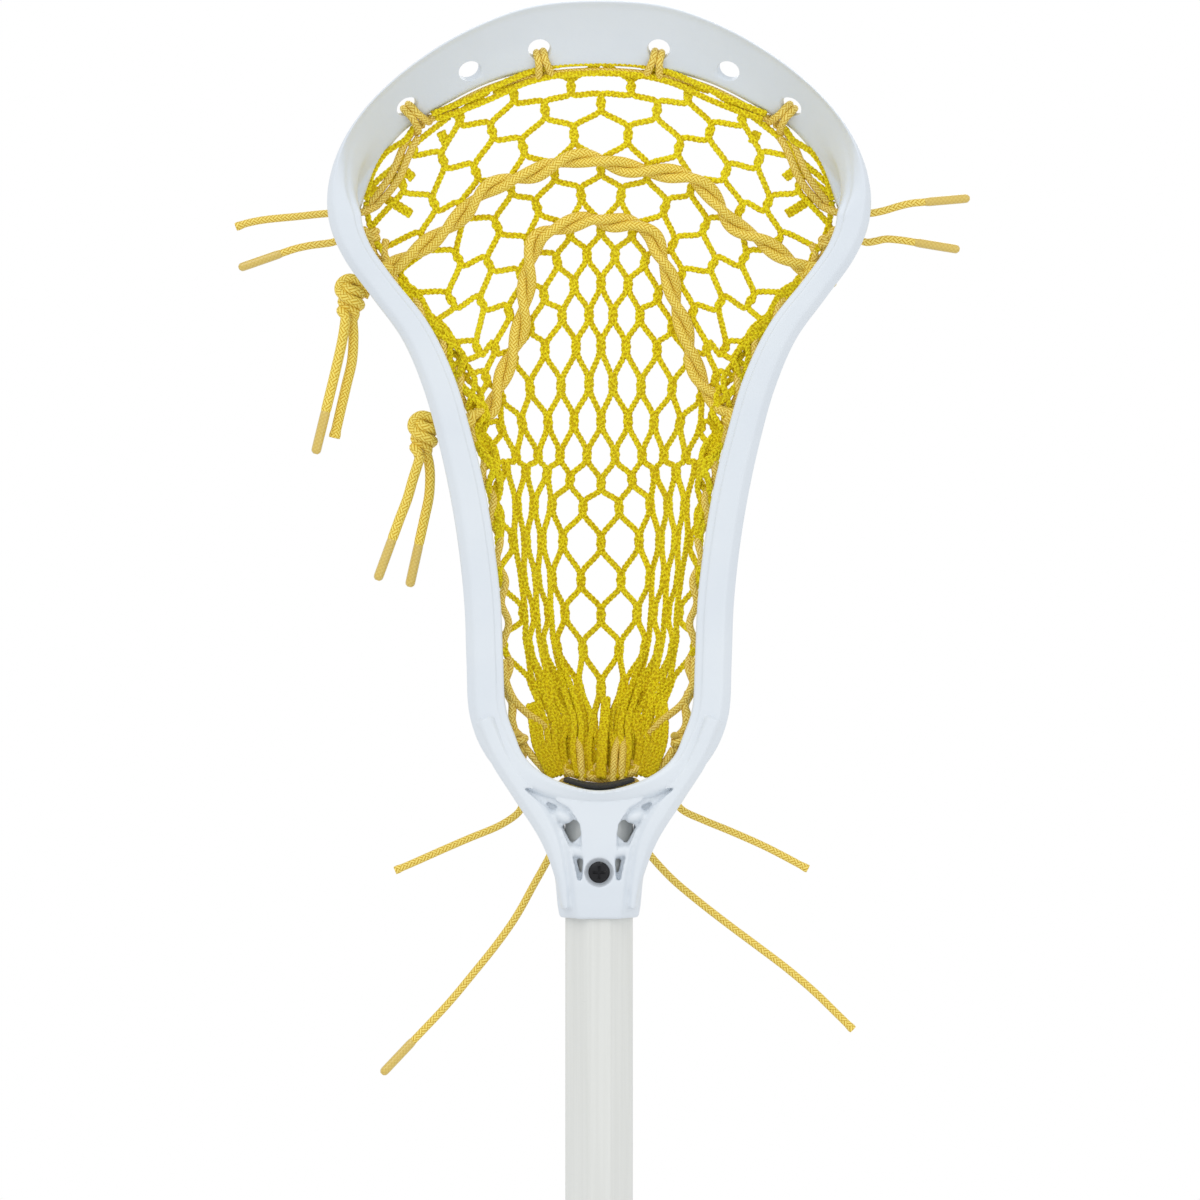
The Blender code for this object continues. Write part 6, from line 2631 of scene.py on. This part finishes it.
TAILS = (
    Tail("top_left", LACE_DIAMETER, False, (
        (-0.0878, 0.0077, 0.2321), (-0.0930, 0.0078, 0.2317), (-0.0998, 0.0080, 0.2310),
        (-0.1103, 0.0083, 0.2300), (-0.1164, 0.0086, 0.2289), (-0.1204, 0.0088, 0.2276),
    )),
    Tail("side_left", LACE_DIAMETER, True, (
        (-0.0861, 0.0089, 0.2233), (-0.0888, 0.0090, 0.2224), (-0.0925, 0.0091, 0.2219),
        (-0.0962, 0.0091, 0.2214), (-0.1008, 0.0092, 0.2204), (-0.1051, 0.0094, 0.2190),
    )),
    Tail("top_right", LACE_DIAMETER, True, (
        (0.0878, 0.0077, 0.2321), (0.0905, 0.0078, 0.2321), (0.0944, 0.0080, 0.2329),
        (0.0987, 0.0080, 0.2342), (0.1031, 0.0083, 0.2353), (0.1077, 0.0086, 0.2358),
    )),
    Tail("side_right", LACE_DIAMETER, True, (
        (0.0861, 0.0089, 0.2233), (0.0888, 0.0090, 0.2225), (0.0916, 0.0091, 0.2229),
        (0.0952, 0.0091, 0.2236), (0.0998, 0.0093, 0.2233), (0.1045, 0.0095, 0.2226),
    )),
    Tail("upper_outer", SHOOTER_DIAMETER, True, (
        (-0.0839, 0.0074, 0.1975), (-0.0845, 0.0073, 0.1930), (-0.0854, 0.0072, 0.1880),
        (-0.0875, 0.0070, 0.1787), (-0.0903, 0.0068, 0.1671),
    )),
    Tail("upper_inner", SHOOTER_DIAMETER, False, (
        (-0.0820, 0.0112, 0.1975), (-0.0816, 0.0110, 0.1912), (-0.0821, 0.0108, 0.1832),
        (-0.0839, 0.0106, 0.1753), (-0.0859, 0.0104, 0.1666), (-0.0879, 0.0102, 0.1577),
    )),
    Tail("lower_outer", SHOOTER_DIAMETER, True, (
        (-0.0593, 0.0105, 0.1521), (-0.0602, 0.0105, 0.1490), (-0.0618, 0.0105, 0.1440),
        (-0.0637, 0.0104, 0.1374), (-0.0661, 0.0102, 0.1311), (-0.0684, 0.0100, 0.1248),
    )),
    Tail("lower_inner", SHOOTER_DIAMETER, True, (
        (-0.0573, 0.0143, 0.1521), (-0.0566, 0.0142, 0.1490), (-0.0563, 0.0142, 0.1448),
        (-0.0567, 0.0142, 0.1382), (-0.0583, 0.0140, 0.1305), (-0.0599, 0.0140, 0.1232),
    )),
    Tail("foot_left", LACE_DIAMETER, False, (
        (-0.0254, 0.0165, 0.0432), (-0.0251, 0.0164, 0.0395), (-0.0253, 0.0164, 0.0366),
        (-0.0272, 0.0164, 0.0327), (-0.0335, 0.0163, 0.0285), (-0.0434, 0.0158, 0.0244),
        (-0.0532, 0.0150, 0.0202), (-0.0618, 0.0144, 0.0164), (-0.0680, 0.0140, 0.0138),
    )),
    Tail("foot_right", LACE_DIAMETER, False, (
        (0.0254, 0.0165, 0.0432), (0.0251, 0.0164, 0.0398), (0.0254, 0.0164, 0.0370),
        (0.0281, 0.0164, 0.0336), (0.0352, 0.0163, 0.0303), (0.0450, 0.0158, 0.0263),
        (0.0564, 0.0150, 0.0212), (0.0696, 0.0140, 0.0143),
    )),
    Tail("long_left", LACE_DIAMETER, True, (
        (-0.0145, 0.0163, 0.0237), (-0.0155, 0.0164, 0.0206), (-0.0175, 0.0164, 0.0165),
        (-0.0216, 0.0164, 0.0092), (-0.0275, 0.0160, -0.0014), (-0.0341, 0.0152, -0.0108),
        (-0.0420, 0.0142, -0.0206), (-0.0505, 0.0130, -0.0307), (-0.0616, 0.0115, -0.0424),
    )),
    Tail("long_right", LACE_DIAMETER, False, (
        (0.0145, 0.0163, 0.0237), (0.0157, 0.0164, 0.0207), (0.0186, 0.0164, 0.0169),
        (0.0248, 0.0164, 0.0104), (0.0334, 0.0160, 0.0032), (0.0426, 0.0152, -0.0039),
        (0.0530, 0.0142, -0.0116), (0.0621, 0.0130, -0.0184), (0.0712, 0.0118, -0.0260),
        (0.0792, 0.0106, -0.0337), (0.0843, 0.0100, -0.0387),
    )),
)


@dataclass
class FreeEnds:
    """The laces' free ends and the sleeves on them."""

    wardrobe: Wardrobe
    spacing: float = 0.0009
    melted_length: float = 0.0022
    melted_swell: float = 0.16
    gripped: float = 0.80
    sleeve: float = 0.0030
    thick_sleeve: float = 0.0033
    sleeve_taper: float = 0.0016
    sleeve_gap: float = 0.0003
    sleeve_steps: int = 24
    sleeve_mouth: float = 0.86
    sleeve_end: float = 0.45
    cut_share: float = 0.85

    def melted(self, length: float) -> Callable[[float], float]:
        """How a cut end swells where it was melted.

        Args:
            length: The cord's length.

        Returns:
            The cord's girth by the distance along it.
        """

        def swell(along: float) -> float:
            """The girth at a distance."""
            share = max(0.0, 1.0 - (length - along) / self.melted_length)
            return 1.0 + self.melted_swell * math.sin(math.pi * min(share, self.cut_share))

        return swell

    def squeezed(self, length: float) -> Callable[[float], float]:
        """How a sleeve squeezes the lace in it.

        Args:
            length: The lace's length up to the sleeve.

        Returns:
            The lace's girth by the distance along it.
        """

        def swell(along: float) -> float:
            """The girth at a distance."""
            return 1.0 + (self.gripped - 1.0) * clamped((along - length) / self.melted_length)

        return swell

    def build(self) -> None:
        """Build every free end."""
        for tail in TAILS:
            points = evenly([above_collar(*spot) for spot in tail.route], self.spacing)
            length = length_of(points)
            thick = tail.diameter == SHOOTER_DIAMETER
            swell = self.melted(length)
            pieces = []
            if tail.tipped:
                sleeve_line = self.sleeve_line(points)
                pieces = [self.sleeve_on(tail, sleeve_line, thick)]
                swell = self.squeezed(length)
                points = [*points, *sleeve_line[1:-1]]
                length += TIP_LENGTH
            strands = [Strand(points, tail.diameter, swell, 4)]
            material = self.wardrobe.shooter if thick else self.wardrobe.lace
            name, node = f"lace_end_{tail.name}", f"tail_{tail.name}"
            made = Piece.cords(name, strands, material, Slot.LACE, node)

    def sleeve_line(self, points: list[Vector]) -> list[Vector]:
        """The straight line of a sleeve, which goes on from the end of a lace's line.

        Args:
            points: The lace's line.

        Returns:
            The sleeve's line.
        """
        along = (points[-1] - points[-4]).normalized()
        start = points[-1] + self.sleeve_gap * along
        count = self.sleeve_steps
        return [start + along * (TIP_LENGTH * k / count) for k in range(count + 1)]

    def sleeve_on(self, tail: Tail, line: list[Vector], thick: bool) -> bpy.types.Object:
        """The plastic sleeve on a free end.

        Args:
            tail: The free end.
            line: The sleeve's line.
            thick: Whether it is a shooting string's.

        Returns:
            The sleeve.
        """

        def swell(reach: float) -> float:
            """The girth at a distance: a soft mouth and a domed far end."""
            start = min(reach / self.sleeve_taper, 1.0)
            end = clamped((TIP_LENGTH - reach) / self.sleeve_taper)
            mouth = self.sleeve_mouth + (1.0 - self.sleeve_mouth) * math.sqrt(start)
            dome = self.sleeve_end + (1.0 - self.sleeve_end) * math.sqrt(end * (2.0 - end))
            return mouth * dome

        strands = [Strand(line, self.thick_sleeve if thick else self.sleeve, swell, 4)]
        name, node = f"sleeve_{tail.name}", f"aglet_{tail.name}"
        return Piece.cords(name, strands, self.wardrobe.sleeve, Slot.TIP, node)


@dataclass
class Studio:
    """The camera, the floor and the soft light."""

    floor_size: float = 4.0
    sky: tuple = (0.97, 0.985, 1.0)
    sky_strength: float = 0.85
    floor_color: tuple = (0.86, 0.86, 0.86)
    floor_drop: float = 0.0005
    near_limit: float = 0.05
    lamps: tuple = (
        ("key", (-0.9, -1.5, 2.3), 1.5, 10.0), ("fill", (1.3, -1.3, 1.2), 1.6, 4.0),
        ("back", (0.2, 1.6, 1.9), 1.4, 7.0),
    )

    def build(self) -> None:
        """Build the studio."""
        self.camera()
        self.world()
        self.floor()
        for lamp in self.lamps:
            self.lamp(*lamp)
        bpy.context.scene.view_settings.view_transform = "Standard"

    def camera(self) -> None:
        """Stand the camera square in front of the head."""
        data = bpy.data.cameras.new("camera")
        data.sensor_width = SENSOR_WIDTH
        data.lens = SENSOR_WIDTH * VIEW_DISTANCE / VIEW_WIDTH
        data.clip_start = self.near_limit
        made = Piece.linked("camera", data)
        made.location = (VIEW_CENTRE[0], FRONT_PLANE - VIEW_DISTANCE, VIEW_CENTRE[1])
        made.rotation_euler = (math.radians(90.0), 0.0, 0.0)
        bpy.context.scene.camera = made

    def world(self) -> None:
        """A pale sky that is plain white to the camera, also through clear things."""
        world = bpy.data.worlds.new("studio")
        bpy.context.scene.world = world
        graph = Graph(world)
        path = graph.node("ShaderNodeLightPath")
        seen = path.beside("Is Camera Ray").at_least(path.beside("Is Transmission Ray"))
        light, white = (
            graph.node("ShaderNodeBackground", None, {"Color": (*color, 1.0), "Strength": strength})
            for color, strength in ((self.sky, self.sky_strength), ((1.0, 1.0, 1.0), 1.0))
        )
        mixed = graph.node("ShaderNodeMixShader", None, {0: seen, 1: light, 2: white})
        graph.node("ShaderNodeOutputWorld", None, {"Surface": mixed})

    def floor(self) -> None:
        """A plain pale floor that stays under the cap, so that the stick is drawn up out of it."""
        shape = bmesh.new()
        bmesh.ops.create_grid(shape, x_segments=1, y_segments=1, size=self.floor_size / 2)
        graph = Graph.finish("floor_pale")
        cloud = graph.noise(graph.place(), 3.0)
        base = graph.blend(cloud, self.floor_color, tuple(c * 0.99 for c in self.floor_color))
        material = graph.surface(base, 0.8, cloud, 0.00001)
        data = Piece.mesh("floor", shape)
        data.materials.append(material)
        made = Piece.linked("floor", data)
        made.location = (0.0, 0.0, -self.floor_drop)
        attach(made, Body.CAP.value)

    def lamp(self, name: str, place: tuple, size: float, energy: float) -> None:
        """Hang a soft square lamp that looks at the head.

        Args:
            name: The lamp's name.
            place: Where it hangs.
            size: Its side.
            energy: Its power in watts.
        """
        data = bpy.data.lights.new(name, "AREA")
        data.size = size
        data.energy = energy
        made = Piece.linked(name, data)
        aim = Vector((0.0, 0.0, VIEW_CENTRE[1])) - Vector(place)
        made.rotation_euler = aim.to_track_quat("-Z", "Y").to_euler()
        made.location = place


@dataclass
class Shaft:
    """The octagonal tube with softly rounded corners, and the cap on its butt."""

    wardrobe: Wardrobe
    width: float = 0.0222
    flat: float = 0.0070
    wall: float = 0.0015
    corner: float = 0.0007
    cap_corner: float = 0.0016
    grooves: tuple = (0.42, 0.58, 0.74)
    groove_half: float = 0.0008
    groove_depth: float = 0.0004
    cap_fit: float = 0.0003
    cap_soft: float = 0.0005

    @classmethod
    def bar(cls, width: float, flat: float, low: float, high: float) -> bmesh.types.BMesh:
        """An upright octagonal bar.

        Args:
            width: Its width over the flats that face the axes.
            flat: The width of those flats.
            low: Its lower end.
            high: Its upper end.

        Returns:
            The bar.
        """
        shape = Shaper.box((width, width, high - low))
        bmesh.ops.translate(shape, verts=shape.verts, vec=(0.0, 0.0, (low + high) / 2))
        cls.bevel(shape, cls.uprights(shape), (width - flat) / 2, 1)
        return shape

    @staticmethod
    def uprights(shape: bmesh.types.BMesh) -> list[bmesh.types.BMEdge]:
        """The edges that run along the shape's height."""
        return [e for e in shape.edges if abs(e.verts[0].co.z - e.verts[1].co.z) > 0.001]

    @staticmethod
    def bevel(shape: bmesh.types.BMesh, edges: Sequence, offset: float, segments: int) -> None:
        """Bevel some edges.

        Args:
            shape: The bmesh.
            edges: The edges.
            offset: The bevel's width.
            segments: Its segments.
        """
        bmesh.ops.bevel(
            shape, geom=edges, offset=offset, offset_type="OFFSET", segments=segments, profile=0.5,
            affect="EDGES", material=-1,
        )

    def build(self) -> None:
        """Build the tube and the cap."""
        tube = self.bar(self.width, self.flat, SHAFT_LOW.z, SHAFT_HIGH.z)
        self.bevel(tube, self.uprights(tube), self.corner, 3)
        ends = [face for face in tube.faces if abs(face.normal.z) > 0.9]
        bmesh.ops.inset_individual(tube, faces=ends, thickness=self.wall, use_even_offset=True)
        rims = list({edge for face in ends for edge in face.edges})
        bmesh.ops.delete(tube, geom=ends, context="FACES_ONLY")
        bmesh.ops.bridge_loops(tube, edges=rims)
        bmesh.ops.recalc_face_normals(tube, faces=tube.faces)
        data = Piece.smooth_mesh("shaft_tube", tube)
        Piece.keep("shaft_tube", data, self.wardrobe.alloy, Slot.ALLOY, ["shaft"])
        self.cap()

    def cap(self) -> None:
        """The rubber cup, with a soft rim and three grooves round it."""
        width = 2 * CAP_HIGH.x
        flat = self.flat + (width - self.width) * FLAT_GROWTH
        high = CAP_HIGH.z
        cup = self.bar(width, flat, 0.0, high)
        self.bevel(cup, self.uprights(cup), self.cap_corner, 4)
        steps = (-self.groove_half, self.groove_half)
        cuts = sorted(share * high + step for share in self.grooves for step in steps)
        for cut in cuts:
            bmesh.ops.bisect_plane(
                cup,
                geom=[*cup.verts, *cup.edges, *cup.faces],
                plane_co=(0.0, 0.0, cut),
                plane_no=UP,
            )
        for low, top in zip(cuts[::2], cuts[1::2]):
            groove = [
                face
                for face in cup.faces
                if abs(face.normal.z) < 0.5 and low < face.calc_center_median().z < top
            ]
            deep = self.groove_depth
            bmesh.ops.inset_region(cup, faces=groove, thickness=deep, depth=-deep)
        lid = [face for face in cup.faces if face.normal.z > 0.9 and face.calc_area() > 0.0001]
        wall = (width - self.width) / 2 - self.cap_fit
        bmesh.ops.inset_individual(cup, faces=lid, thickness=wall, use_even_offset=True)
        floors = bmesh.ops.extrude_discrete_faces(cup, faces=lid)["faces"]
        sunk = [vert for face in floors for vert in face.verts]
        bmesh.ops.translate(cup, verts=sunk, vec=(0.0, 0.0, SHAFT_LOW.z - self.cap_fit - high))
        bmesh.ops.recalc_face_normals(cup, faces=cup.faces)
        name = "butt_cap_cup"
        data = Piece.smooth_mesh(name, cup)
        made = Piece.keep(name, data, self.wardrobe.rubber, Slot.RUBBER, ["end_cap"], Body.CAP)
        soft = made.modifiers.new("soft_edges", "BEVEL")
        soft.width = self.cap_soft
        soft.segments = 3
        soft.limit_method = "ANGLE"
        soft.angle_limit = math.radians(50.0)


def main() -> None:
    """Build the studio and the stick, piece by piece."""
    logging.basicConfig(level=logging.INFO, format="%(name)s: %(message)s")
    wardrobe = Wardrobe()
    Studio().build()
    FreeEnds(wardrobe).build()
    head = Head(wardrobe)
    head.build()
    Shaft(wardrobe).build()
    Screw(wardrobe).build()
    Pad(wardrobe).build()
    pocket = Pocket(wardrobe)
    pocket.build()
    NetEdges(pocket).build()
    Laces(wardrobe).build(head)
    ShootingStrings(wardrobe).build()


if __name__ == "__main__":
    main()
